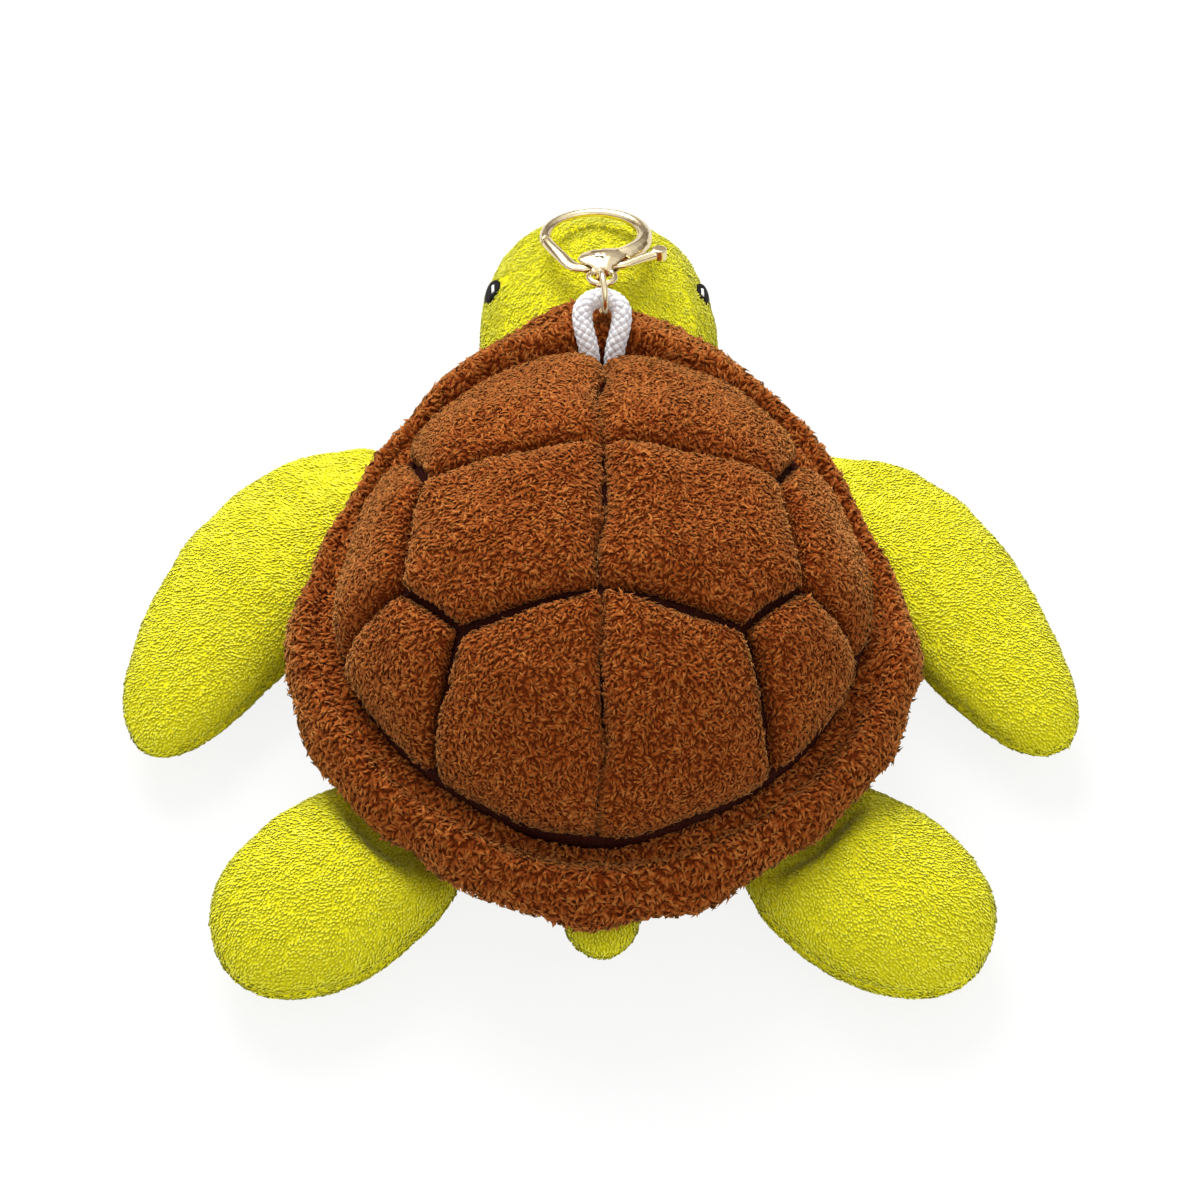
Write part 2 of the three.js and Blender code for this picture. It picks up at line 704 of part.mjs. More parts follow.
// The space of both legs along their lie, open behind them, where they swing up
function cordSpace() {
  const reach = cordDiameter / 2 + cordGap;
  const lie = cordRoute.slice(0, cordHalfRoute.length + 1);
  const start = lie[0].clone().lerp(lie[1], -1);
  const rings = [start, ...lie.slice(0, -1)].map((point, k) => {
    const ahead = lie[k].clone().sub(point);
    const below = vec(0, ahead.z, -ahead.y).normalize();
    const front = point.clone().addScaledVector(below, reach);
    const back = point.clone().addScaledVector(below, -cordSpaceShare * reach);
    const x = point.x + reach;
    return [[x, front], [-x, front], [-x, back], [x, back]].map(([side, at]) => vec(side, at.y, at.z));
  });
  const ends = [rings[0], rings.at(-1)].map((ring) => ring[0].clone().lerp(ring[2], 1 / 2));
  return skin(rings, ...ends);
}

// A round wire bent into a ring about its own middle
function wireRing(radius, wireRadius, steps) {
  const rings = [];
  for (let k = 0; k < steps; k++) {
    const turn = 2 * Math.PI * (k + 0.5) / steps;
    const out = vec(Math.cos(turn), Math.sin(turn), 0);
    const middle = out.clone().multiplyScalar(radius);
    rings.push(ovalRing(middle, out, vec(0, 0, 1), wireRadius, wireRadius, wireSides));
  }
  return band(rings);
}

const ringRadius = ringInnerRadius + ringWire / 2;
const bightToRing = ringInnerRadius - cordDiameter / 2 - cordGap;
const ringToEyelet = ringInnerRadius - eyeletWire / 2 - linkGap;

// A slab with the outline of a shape, its middle on the clasp's plane
function slab(shape, thickness) {
  const geometry = new THREE.ExtrudeGeometry(shape, { depth: thickness, bevelEnabled: false });
  return geometry.translate(0, 0, -thickness / 2);
}

// A point on the middle line of the hook's ring
const onHook = (deg) => vec(
  hookShift + hookRadius * Math.cos(rad(deg)), hookReach + hookRadius * Math.sin(rad(deg)), 0);

// A bar of oval section along a line in the clasp's plane
function flatBar(line, steps, halfWidth, widthShares, halfThickness, thicknessShares) {
  const rings = line.getSpacedPoints(steps).map((middle, k) => {
    const share = k / steps;
    const ahead = line.getTangentAt(share);
    return ovalRing(middle, vec(-ahead.y, ahead.x, 0), vec(0, 0, 1),
      halfWidth * between(widthShares, share), halfThickness * between(thicknessShares, share),
      hookSides);
  });
  return skin(rings, line.getPoint(0), line.getPoint(1));
}

// The swollen cheeks at the foot of the hook
function cheekBlank() {
  const rings = stations(limbSteps, cheekRoundShare).map((share) => {
    const round = rounding(share, cheekRoundShare);
    const middle = vec(cheekHalfWidth * between(cheekShiftShares, share),
      cheekStart + cheekLength * share, 0);
    return ovalRing(middle, vec(1, 0, 0), vec(0, 0, 1),
      cheekHalfWidth * between(cheekWidthShares, share) * round,
      cheekHalfThickness * between(cheekThicknessShares, share) * round, limbSides);
  });
  const end = cheekHalfWidth * between(cheekShiftShares, 1);
  return skin(rings, vec(0, cheekStart, 0), vec(end, cheekStart + cheekLength, 0));
}

// The slot between the cheeks, open on both sides and into the hook's opening
function leverSlot() {
  const slot = new THREE.Shape();
  const wide = 2 * cheekHalfWidth;
  const sideTop = neckTop - neckFallShare * (wide - webX / 2);
  slot.moveTo(-wide, sideTop);
  slot.lineTo(-webX / 2, neckTop);
  slot.lineTo(webX / 2, neckTop);
  slot.lineTo(wide, sideTop);
  slot.lineTo(wide, webY);
  slot.lineTo(webX, webY);
  slot.lineTo(webX, hookReach);
  slot.lineTo(-wide, hookReach);
  return slab(slot, leverThickness + 2 * pivotGap);
}

const leverPivot = vec(leverPivotX, leverPivotY, 0);
const gateJoint = onHook(gateJointDeg);
const gateReach = gateJoint.distanceTo(leverPivot);

function disc(x, y, radius, thickness, sides) {
  return slab(circle(radius, sides), thickness).translate(x, y, 0);
}

function claspBodyGeometry() {
  const eyelet = wireRing(eyeletHoleRadius + eyeletWire / 2, eyeletWire / 2, ringSteps)
    .translate(0, eyeletHoleRadius + eyeletWire / 2, 0);
  const bend = [];
  for (let k = 0; k <= hookSteps; k++) {
    bend.push(onHook(THREE.MathUtils.lerp(hookStartDeg, hookEndDeg, k / hookSteps)));
  }
  const hook = flatBar(new THREE.CatmullRomCurve3(bend), hookSteps, hookHalfWidth, hookWidthShares,
    hookHalfThickness, hookThicknessShares);
  const tall = 4 * cheekHalfThickness;
  const gateRoom = disc(leverPivotX, leverPivotY, gateReach + pivotGap, tall, 3 * ringSteps);
  const leftHalf = new THREE.BoxGeometry(2 * hookRadius, 2 * hookRadius, tall)
    .translate(hookShift - hookRadius, hookReach - hookRadius / 4, 0);
  const tipCutter = geometryOf(solidOf(gateRoom).intersect(solidOf(leftHalf)));
  const opening = disc(hookShift, hookReach, hookRadius - hookHalfWidth, tall, 2 * ringSteps);
  const cheeks = cut(cheekBlank(), [opening]);
  const eyeletHole = disc(0, eyeletHoleRadius + eyeletWire / 2, eyeletHoleRadius, tall, ringSteps);
  const bore = disc(leverPivotX, leverPivotY, pinRadius + pivotGap,
    2 * (cheekHalfThickness - pivotGap), pinSides);
  return cut(join([eyelet, cheeks, cut(hook, [tipCutter])]), [leverSlot(), eyeletHole, bore]);
}

// The lever: gate arm, hub and thumb tab in one flat piece
function leverGeometry() {
  const halfThickness = leverThickness / 2;
  const route = [...armRoute(gateJoint, gateKneeShares), onHook(gateJointDeg - gateOverrunDeg)];
  const gate = flatBar(new THREE.CatmullRomCurve3(route), hookSteps / 2, gateHalfWidth,
    gateWidthShares, halfThickness, gateThicknessShares);
  const hub = disc(leverPivotX, leverPivotY, leverHubRadius, leverThickness, ringSteps);
  const thumb = thumbGeometry(halfThickness);
  const within = disc(leverPivotX, leverPivotY, gateReach - pivotGap, 2 * leverThickness,
    3 * ringSteps);
  const gateWithin = geometryOf(solidOf(gate).intersect(solidOf(within)));
  const bore = disc(leverPivotX, leverPivotY, pinRadius + pivotGap, 2 * leverThickness, pinSides);
  const pocket = disc(leverPivotX, leverPivotY, springPocketRadius, 2 * springPocketDepth, ringSteps)
    .translate(0, 0, -halfThickness);
  return cut(join([gateWithin, hub, thumb]), [bore, pocket]);
}

function thumbGeometry(halfThickness) {
  const end = vec(leverPivotX + thumbReachX, leverPivotY + thumbReachY, 0);
  const arm = flatBar(new THREE.CatmullRomCurve3(armRoute(end, thumbKneeShares)), limbSteps,
    thumbHalfWidth, thumbWidthShares, halfThickness, thumbThicknessShares);
  return join([arm, disc(end.x, end.y, thumbKnobRadius, thumbKnobThickness, ringSteps / 2)]);
}

// From the pivot to the end of one of the lever's arms, by its knees
function armRoute(end, kneeShares) {
  const knees = kneeShares.map(([x, y]) => vec(
    THREE.MathUtils.lerp(leverPivot.x, end.x, x), THREE.MathUtils.lerp(leverPivot.y, end.y, y), 0));
  return [leverPivot, ...knees, end];
}

const springRadius = pinRadius + pivotGap + springWire / 2;
const springPocketRadius = springRadius + springWire / 2 + pivotGap;

function pinGeometry() {
  const length = 2 * (cheekHalfThickness - 2 * pivotGap);
  return disc(leverPivotX, leverPivotY, pinRadius, length, pinSides);
}

// Torsion spring round the pin, in the pocket under the hub
function springGeometry() {
  const steps = springTurns * springStepsPerTurn;
  const pitch = (springPocketDepth - springWire) / springTurns;
  const bottom = -leverThickness / 2 + springWire / 2 - pivotGap / 2;
  const rings = [];
  for (let k = 0; k <= steps; k++) {
    const turn = 2 * Math.PI * k / springStepsPerTurn;
    const out = vec(Math.cos(turn), Math.sin(turn), 0);
    const middle = out.clone().multiplyScalar(springRadius)
      .add(vec(leverPivotX, leverPivotY, bottom + pitch * k / springStepsPerTurn));
    rings.push(ovalRing(middle, out, vec(0, 0, 1), springWire / 2, springWire / 2, springSides));
  }
  const centre = (ring) => ring.reduce((sum, point) => sum.add(point), vec(0, 0, 0))
    .divideScalar(ring.length);
  return skin(rings, centre(rings[0]), centre(rings[steps]));
}

// Assembly
const turtle = new THREE.Group();

function add(parent, name, geometry, material) {
  const mesh = new THREE.Mesh(geometry, material);
  mesh.name = name;
  parent.add(mesh);
  return mesh;
}

const sides = [['left', -1], ['right', 1]];
for (const [name, corners] of Object.entries(scuteCorners)) {
  for (const [sideName, side] of sides) {
    add(turtle, `${name}_${sideName}`, scuteGeometry(corners, side), brown);
  }
}
add(turtle, 'shell_brim', brimGeometry(), brown);
add(turtle, 'belly', bellyGeometry(0, bellyWall), lime);
add(turtle, 'body_filling', fillingGeometry(0), fibre);
add(turtle, 'head', headGeometry(), lime);
add(turtle, 'tail', tailGeometry(), lime);
for (const [sideName, side] of sides) {
  add(turtle, `eye_${sideName}`, eyeGeometry(side), black);
  add(turtle, `flipper_front_${sideName}`, flipperGeometry(frontLimb(side)), lime);
  add(turtle, `flipper_rear_${sideName}`, flipperGeometry(rearLimb(side)), lime);
}
add(turtle, 'cord_loop', cordGeometry(), white);

// The jump ring stands upright in the bight, and the clasp slopes down over the head from it
const links = new THREE.Group();
links.position.copy(vec(...cordBight).add(cordSeam));
turtle.add(links);
const ring = add(links, 'jump_ring', wireRing(ringRadius, ringWire / 2, ringSteps), gold);
ring.position.set(0, bightToRing, 0);
ring.rotation.set(0, Math.PI / 2, 0);
const clasp = new THREE.Group();
clasp.position.set(0, bightToRing + ringToEyelet, 0);
clasp.rotation.set(-rad(claspSlopeDeg), 0, 0);
links.add(clasp);
add(clasp, 'clasp_body', claspBodyGeometry(), gold);
add(clasp, 'clasp_lever', leverGeometry(), gold);
add(clasp, 'clasp_pin', pinGeometry(), steel);
add(clasp, 'clasp_spring', springGeometry(), steel);

export default turtle;
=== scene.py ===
"""A plush sea turtle with a quilted shell, hung from a trigger clasp on a braided cord loop."""

import math
from functools import partial

import bmesh
import bpy
import numpy as np
from mathutils import Matrix, Vector, noise
from mathutils.bvhtree import BVHTree


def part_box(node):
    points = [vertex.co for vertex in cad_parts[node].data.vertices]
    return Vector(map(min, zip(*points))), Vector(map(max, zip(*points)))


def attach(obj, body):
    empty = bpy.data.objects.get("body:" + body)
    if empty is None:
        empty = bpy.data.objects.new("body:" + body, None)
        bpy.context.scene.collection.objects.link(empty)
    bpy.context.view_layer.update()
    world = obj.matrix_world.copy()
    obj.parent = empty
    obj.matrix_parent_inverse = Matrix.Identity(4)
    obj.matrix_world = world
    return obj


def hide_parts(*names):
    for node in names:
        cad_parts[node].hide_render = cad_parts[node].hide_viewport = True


bl_info = {
    "name": "Plush Turtle Keychain",
    "version": (1, 0, 0),
    "blender": (4, 5, 0),
    "location": "View3D > Sidebar > Turtle",
    "description": "Dresses the packed turtle with plush pile, braid, stitches and plated metal",
    "category": "Object",
}

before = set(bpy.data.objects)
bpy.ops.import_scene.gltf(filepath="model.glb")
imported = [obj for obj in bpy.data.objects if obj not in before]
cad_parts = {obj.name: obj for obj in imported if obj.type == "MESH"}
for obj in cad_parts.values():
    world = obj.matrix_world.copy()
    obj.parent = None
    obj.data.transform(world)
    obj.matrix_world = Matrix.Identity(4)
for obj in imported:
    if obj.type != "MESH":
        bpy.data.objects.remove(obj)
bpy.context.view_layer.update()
MM = 0.001

SIDES = (("left", -1), ("right", 1))
SCUTES = ("scute_front", "scute_middle", "scute_rear", "scute_side_front", "scute_side_rear")
SHELL = [f"{kind}_{name}" for kind in SCUTES for name, side in SIDES] + ["shell_brim"]
# Each pair's pile runs away from this place along the turtle, in metres
FLIPPER_ROOTS = {"flipper_front": 0.03, "flipper_rear": -0.02}

# The point that the camera looks at in metres, and how far the picture's middle is to its right
# and above it, in pixels of a picture so many across
VIEW_MIDDLE, VIEW_SHIFT, PHOTO_WIDTH = Vector((0, 0, 0.026)), (-2, 6), 1200

# The dome that the scutes are quilted on, as the solids have it, in millimetres
DOME = {"half_width": 45, "middle_y": -3, "front": 52.5, "rear": 44.5, "base": 25, "top": 53}
DOME_FULLNESS = {"front": 1.95, "rear": 1.75}
ARCH_LIFT, ARCH_START, ARCH_END = 6.9, 5, 57.3
# Quilting seams on the dome, in shares of the way from its top to its foot
SEAM_NET = {
    "centre": ((0, 1), (0, 0.26), (0, -0.16), (0, -1)),
    "arch": ((0, 0.26), (0.5, 0.255), (0.766, 0.643)),
    "flank": ((0.5, 0.255), (0.555, -0.105), (0.964, -0.267)),
    "rear_arch": ((0, -0.16), (0.385, -0.27), (0.555, -0.105)),
    "rear_side": ((0.385, -0.27), (0.649, -0.76)),
}
# How deep the quilting threads lie under the dome, in millimetres
SEAM_DEPTH = 3.9

# The right half of the cord's middle line in millimetres, then its bight
CORD_HALF = (
    (2.05, 50.0, 27.5),
    (2.1, 51.3, 29.7),
    (2.4, 52.8, 31.7),
    (3.05, 54.6, 33.4),
    (3.45, 56.6, 34.7),
    (3.2, 58.3, 35.7),
    (1.85, 59.5, 36.3),
)
CORD_BIGHT = (0, 59.9, 36.5)
RING_MIDDLE = Vector((0, 60.95, 36.5)) * MM
RING_RADIUS, RING_WIRE = 3.8 * MM, 0.55 * MM
# The wire's ends don't quite meet: the gap's half and its place, in turns and radians
RING_GAP, RING_GAP_AT, RING_STEPS = 0.004, 0.9, 72
# It lies a little askew in the cord's bight, turned by these degrees about these axes
RING_ASKEW = ((7, (0, 0.8, 0.6)), (5, (0, -0.6, 0.8)))
# The eyes: how far each reaches round the head and along it from its middle, in millimetres
EYE_SIZE = {"round": 3.9, "along": 2.5, "rise": 24}
# The share of that which each shows round the head, and how much lower it is sewn
EYE_ASKEW = {"left": (0.85, 0.9), "right": (0.72, 1.6)}
# How far an eye's middle bulges, its edge follows the head round and its threads sink in, and
# the threads' radius, in millimetres
EYE_BULGE, EYE_CURVE, EYE_SINK, EYE_THREAD = 0.3, 0.75, 0.1, 0.2

# The shell's middle seam in millimetres: the half width of its band and how far that fades out,
# how near its edges meet and how far they move to do so, the half width and height of the pads'
# rise over it, and the waves it wanders in, each with its swing, its length and where it starts
MIDDLE_BAND, MIDDLE_MEET, MIDDLE_RISE = (1.5, 3.5), (0.8, 0.55), (1.6, 0.45)
MIDDLE_WAVES = ((0.5, 6.1, 0), (0.3, 2.9, 1))
# It opens a little from here on to the front, and at holes in its pile: where each is along it
# and how long, in millimetres, with how open they are
MIDDLE_FRONT, MIDDLE_FRONT_OPEN = (36, 6), 0.15
MIDDLE_HOLES, MIDDLE_HOLE_OPEN = ((12, 2.5), (-8, 6)), 0.6
# The seam round the dome's foot: where it starts and how far round it goes in degrees, as the
# cord comes out in the rest, and in millimetres how far in, up and down it is and how thick
FOOT_SEAM_START, FOOT_SEAM_TURN, FOOT_SEAM_STEPS = 96, 348, 120
FOOT_SEAM_IN, FOOT_SEAM_UP, FOOT_SEAM_DOWN, FOOT_SEAM_THICK = 2.3, 1.6, 2.6, 1.8
# Where the head starts to lean aside, over what length and how far, in millimetres
HEAD_LEAN = (42, 50, 1.4)
# The right front flipper is narrower on this side: from how far out, over what length and by
# how much, in millimetres
FLIPPER_SLIM = ((0.74, 0.67, 0), 48, 16, 2.6)
# A fold on the left rear scute: its ends, its width and its depth in millimetres
REAR_FOLDS = (((-27, -25, 40), (-18, -30, 38), 1.3, 1.0),)
# How each kind of pad is rounded: smoothing rounds, growth, and whether it swells between corners
PAD_ROUNDING = {
    "brown": (10, 0.12 * MM), "lime": (24, 0.3 * MM, True), "head": (20, 0.08 * MM),
}
# What a pad notes for its pile: where it grows, how long it is and which way it lies
PAD_NOTES = {"cover": "FLOAT", "pile": "FLOAT", "lay": "FLOAT_VECTOR"}
# Longer pile on the brim, and sparser on brim and underside, in shares of the usual
PILE_SHARES = {"shell_brim": (1.25, 1.2), "belly": (1, 2.2)}
PILE_TANGLE = {"brown": 1, "lime": 0.45}
# How the tufts stand: sizes in shares of their length, but clumps in metres
PILE_LIE = {
    "brown": {
        "Slimness": 0.23, "Lean": 0.45, "Bend": 0.9, "Unruliness": 0.5,
        "Clump": 1.1 * MM, "Clumping": 0.7,
    },
    "lime": {
        "Slimness": 0.27, "Lean": 1.3, "Bend": 0.3, "Unruliness": 0.15,
        "Clump": 1.6 * MM, "Clumping": 0.3,
    },
}
# Waves in the pile, each with how much it changes and how wide it is in millimetres: turns of
# the way that it lies in radians, then shares of its lean and of its length
LIE_WAVES, LEAN_WAVE, LENGTH_WAVE = ((1.5, 9), (2.2, 1.7)), (0.8, 1.3), (0.35, 1.5)
# At a seam the pile leans over it this much, is shorter by this share, and lies flatter over
# the middle seam by this share
SEAM_LEAN, SEAM_SHORTER, SEAM_FLATTER = 0.12, 0.35, 1.5
# Pile shorter than this share doesn't grow, and this gap in millimetres is left before another
# piece
LEAST_PILE, PILE_GAP = 0.14, 0.1
# A tuft's fullness in its middle, the fall of its bent end, and its least and most size
TUFT_FULLNESS, TUFT_FALL, TUFT_SIZES = 2.2, -0.35, (0.68, 1.22)
# Fine fibres hardly mirror anything, so pile and backing have a low IOR
MATT_IOR = 1.08
# The braid's strands each way, then in millimetres how deep their middle lies under the braid's
# outside, how far it weaves in and out, and half a strand's width and thickness
STRANDS = 6
STRAND_UNDER, STRAND_WEAVE, STRAND_HALF = 0.42, 0.17, (0.6, 0.27)

MATH, VECTOR_MATH = "ShaderNodeMath", "ShaderNodeVectorMath"


def srgb(code):
    """A hex colour as written in sRGB, turned to the linear values that Blender works in."""
    parts = [int(code[i : i + 2], 16) / 255 for i in (1, 3, 5)]
    return tuple(c / 12.92 if c <= 0.04045 else ((c + 0.055) / 1.055) ** 2.4 for c in parts)


def colour_property(name, code, description):
    return bpy.props.FloatVectorProperty(
        name=name, description=description, subtype="COLOR", default=srgb(code), min=0, max=1
    )


def number_property(name, default, description, **kind):
    return bpy.props.FloatProperty(name=name, description=description, default=default, **kind)


def length_property(name, millimetres, description):
    return number_property(name, millimetres * MM, description, min=0, unit="LENGTH")


class TurtlePile(bpy.types.PropertyGroup):
    """How the plush pile stands and what it is dyed."""

    brown_length: length_property("Brown pile", 1.1, "Length of the shell's pile")
    lime_length: length_property("Lime pile", 0.76, "Length of the pile on head, belly and limbs")
    brown_spacing: length_property("Brown spacing", 0.365, "Least way between the shell's tufts")
    lime_spacing: length_property("Lime spacing", 0.4, "Least way between the lime tufts")
    # Each root colour is the pile's dye darkened as painted shade at its foot, each tip colour
    # lightened as a painted highlight at its ends
    brown_root: colour_property("Brown root", "#5E250B", "Shaded foot of the brown pile")
    brown_body: colour_property("Brown body", "#914113", "Middle of the brown pile")
    brown_tip: colour_property("Brown tip", "#C87F3E", "Ends of the brown pile")
    brown_shine: colour_property("Brown shine", "#F4B068", "Light that the brown fibres scatter")
    lime_root: colour_property("Lime root", "#F4EC24", "Shaded foot of the lime pile")
    lime_body: colour_property("Lime body", "#FFF92E", "Middle of the lime pile")
    lime_tip: colour_property("Lime tip", "#FFFF68", "Ends of the lime pile")
    lime_shine: colour_property("Lime shine", "#FFFFC0", "Light that the lime fibres scatter")


class TurtleTrims(bpy.types.PropertyGroup):
    """The cord, threads and metal."""

    cord_diameter: length_property("Cord diameter", 3.7, "Across the braid")
    cord_lead: length_property("Braid lead", 8.6, "Cord for one turn of a strand")
    cord_colour: colour_property("Cord", "#FAF9FF", "White polyester braid")
    # Near-black: the thread's own colour in the stitches, and painted shade on the strips deep in
    # the seams
    thread_and_seam_shade: colour_property("Quilting thread", "#340D03", "Thread in the shell's seams")
    thread_black: colour_property("Eye thread", "#0C0907", "Satin stitches of the eyes")
    thread_white: colour_property("Highlight thread", "#F1F1EE", "Stitched light in the eyes")
    gold: colour_property("Plating", "#EBD8B0", "Pale gold plating of clasp and ring")
    steel: colour_property("Steel", "#C2C2C0", "Pin and spring")


class TurtleStage(bpy.types.PropertyGroup):
    """Where the camera stands and how the light falls."""

    elevation: number_property(
        "Elevation", math.radians(53), "Height of the view above the horizon", subtype="ANGLE"
    )
    distance: length_property("Distance", 500, "From the camera to the turtle")
    lens: number_property("Lens", 90, "Focal length", unit="CAMERA")
    floor_colour: colour_property("Floor", "#F7F7F6", "Pale floor")
    key_power: number_property("Key light", 12.6, "Power of the large lamp", unit="POWER")
    sky_strength: number_property("Sky", 0.68, "Strength of the even light all round", min=0)


# Nodes and meshes


def add_node(tree, kind, inputs=None, stops=(), **settings):
    """Adds one node with its settings, its inputs and a colour ramp's (place, colour) stops."""
    made = tree.nodes.new(kind)
    for key, value in settings.items():
        setattr(made, key, value)
    if stops:
        elements = made.color_ramp.elements
        while len(elements) < len(stops):
            elements.new(0.5)
        for element, (place, colour) in zip(elements, stops):
            element.position = place
            element.color = (*colour, 1)
    return set_inputs(made, inputs or {})


def set_inputs(node, inputs):
    """Gives inputs a value each, a socket that feeds them, or a node whose first output does."""
    for key, value in inputs.items():
        if isinstance(value, bpy.types.Node):
            value = value.outputs[0]
        if isinstance(value, bpy.types.NodeSocket):
            node.id_data.links.new(value, node.inputs[key])
        else:
            node.inputs[key].default_value = value
    return node


def node_group(name, **kinds):
    """A Geometry Nodes tree with inputs of these kinds, and their sockets."""
    tree = bpy.data.node_groups.new(name, "GeometryNodeTree")
    for label, kind in kinds.items():
        tree.interface.new_socket(name=label, in_out="INPUT", socket_type=f"NodeSocket{kind}")
    tree.interface.new_socket(name="Geometry", in_out="OUTPUT", socket_type="NodeSocketGeometry")
    return tree, add_node(tree, "NodeGroupInput").outputs


def put_out(tree, instances, looks):
    """Ends a tree with its instances made real, smooth and in their material."""
    real = add_node(tree, "GeometryNodeRealizeInstances", {"Geometry": instances})
    smooth = add_node(tree, "GeometryNodeSetShadeSmooth", {"Geometry": real})
    done = add_node(tree, "GeometryNodeSetMaterial", {"Geometry": smooth, "Material": looks})
    add_node(tree, "NodeGroupOutput", {"Geometry": done})


def run_tree(piece, tree, values):
    """Runs a tree on a piece with values by input name, and keeps the result as a plain mesh."""
    modifier = piece.modifiers.new(tree.name, "NODES")
    modifier.node_group = tree
    for socket in tree.interface.items_tree:
        if socket.item_type == "SOCKET" and socket.in_out == "INPUT" and socket.name in values:
            modifier[socket.identifier] = values[socket.name]
    settle(piece)


def settle(piece):
    """Turns a piece with modifiers into its plain mesh."""
    piece.update_tag()
    bpy.context.view_layer.update()
    graph = bpy.context.evaluated_depsgraph_get()
    mesh = bpy.data.meshes.new_from_object(piece.evaluated_get(graph))
    piece.modifiers.clear()
    piece.data = mesh


def new_piece(name, points, faces, smooth=True):
    mesh = bpy.data.meshes.new(name)
    mesh.from_pydata([tuple(p) for p in points], [], faces)
    mesh.validate()
    shape = bmesh.new()
    shape.from_mesh(mesh)
    bmesh.ops.recalc_face_normals(shape, faces=shape.faces)
    shape.to_mesh(mesh)
    shape.free()
    if smooth:
        mesh.shade_smooth()
    else:
        mesh.shade_flat()
    return link(bpy.data.objects.new(name, mesh))


def link(piece):
    bpy.context.scene.collection.objects.link(piece)
    return piece


def from_shape(name, shape):
    """A piece of this bmesh, which is freed."""
    mesh = bpy.data.meshes.new(name)
    shape.to_mesh(mesh)
    shape.free()
    return link(bpy.data.objects.new(name, mesh))


def join(name, pieces):
    """Several pieces as one mesh."""
    shape = bmesh.new()
    for piece in pieces:
        shape.from_mesh(piece.data)
        bpy.data.objects.remove(piece)
    joined = from_shape(name, shape)
    joined.data.shade_smooth()
    return joined


def softened(name, node, voxel, rounds, grow, curved=False):
    """A CAD node's closed surface, even and rounded, moved out by grow to make up for that.
    A curved one swells between the node's corners first."""
    shape = bmesh.new()
    shape.from_mesh(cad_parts[node].data)
    bmesh.ops.remove_doubles(shape, verts=shape.verts, dist=0.001 * MM)
    if curved:
        bmesh.ops.subdivide_edges(
            shape, edges=shape.edges[:], cuts=3, smooth=1.0, use_grid_fill=True,
            use_smooth_even=True,
        )
    piece = from_shape(name, shape)
    remesh = piece.modifiers.new("even", "REMESH")
    remesh.mode = "VOXEL"
    remesh.voxel_size = voxel
    piece.modifiers.new("rounded", "SMOOTH").iterations = rounds
    settle(piece)
    points, normals = surface(piece)
    move_to(piece, points + normals * grow)
    piece.data.shade_smooth()
    return piece


def surface(piece):
    """The points and normals of a piece as arrays."""
    mesh = piece.data
    points = np.empty(len(mesh.vertices) * 3, np.float32)
    normals = np.empty(len(mesh.vertices) * 3, np.float32)
    mesh.vertices.foreach_get("co", points)
    mesh.vertex_normals.foreach_get("vector", normals)
    return points.reshape(-1, 3), normals.reshape(-1, 3)


def move_to(piece, points):
    piece.data.vertices.foreach_set("co", np.asarray(points, np.float32).ravel())
    piece.data.update()


def finish_piece(piece, body, slot, looks, *replaced):
    if looks:
        piece.data.materials.clear()
        piece.data.materials.append(looks)
    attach(piece, body)
    if replaced:
        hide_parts(*replaced)


# Materials


def material_base(name):
    """A material with only a Principled shader, what adds its nodes, and Object coordinates."""
    made = bpy.data.materials.new(name)
    made.use_nodes = True
    add = partial(add_node, made.node_tree)
    shader = made.node_tree.nodes["Principled BSDF"]
    return made, add, shader, add("ShaderNodeTexCoord").outputs["Object"]


def scaled(colour, share):
    return tuple(c * share for c in colour)


def per_mm(size):
    """The scale of a pattern whose repeat is this many millimetres."""
    return 1 / (size * MM)


def pile_material(name, root, body, tip, shine, sheen, softness):
    """Polyester plush pile, knitted, sheared and brushed: matt fibres, with painted shade at their
    foot and a painted highlight at their ends, that vary a little from tuft to tuft."""
    made, add, shader, place = material_base(name)
    along = add("ShaderNodeAttribute", attribute_name="along").outputs["Fac"]
    shade = add("ShaderNodeAttribute", attribute_name="shade").outputs["Fac"]
    # Painted sheen: patches about 7 mm wide painted lighter or darker, where the pile would lean
    # another way and catch the light differently
    painted_sheen_patches = add("ShaderNodeTexNoise", {"Vector": place, "Scale": per_mm(7), "Detail": 2.0})
    tone_and_sheen = add(MATH, {0: shade, 1: painted_sheen_patches}, operation="ADD")
    lifted = add(
        "ShaderNodeMapRange",
        {"Value": tone_and_sheen, "From Min": 0.3, "From Max": 1.7, "To Min": -0.2, "To Max": 0.2},
    )
    height = add(MATH, {0: along, 1: lifted}, operation="ADD")
    # Each tuft is lit mostly like the cloth that it stands on, as fine fibres are
    skin = add("ShaderNodeAttribute", attribute_name="skin").outputs["Vector"]
    skin = add(
        "ShaderNodeVectorTransform", {"Vector": skin},
        vector_type="NORMAL", convert_from="OBJECT", convert_to="WORLD",
    )
    own = add("ShaderNodeNewGeometry").outputs["Normal"]
    own = add(VECTOR_MATH, {0: own, "Scale": 1 - softness}, operation="SCALE")
    both = add(VECTOR_MATH, {0: own, 1: skin}, operation="ADD")
    set_inputs(shader, {
        # Painted shade at each tuft's foot and a painted highlight at its ends, by the colour
        # along it
        "Base Color": add(
            "ShaderNodeValToRGB", {"Fac": height}, ((0.0, root), (0.5, body), (1.0, tip))
        ),
        "Normal": add(VECTOR_MATH, {0: both}, operation="NORMALIZE"),
        "Roughness": 0.85,
        "Sheen Weight": sheen,
        "Sheen Roughness": 0.5,
        "Sheen Tint": (*shine, 1),
        "Specular IOR Level": 0.15,
        "IOR": MATT_IOR,
    })
    return made


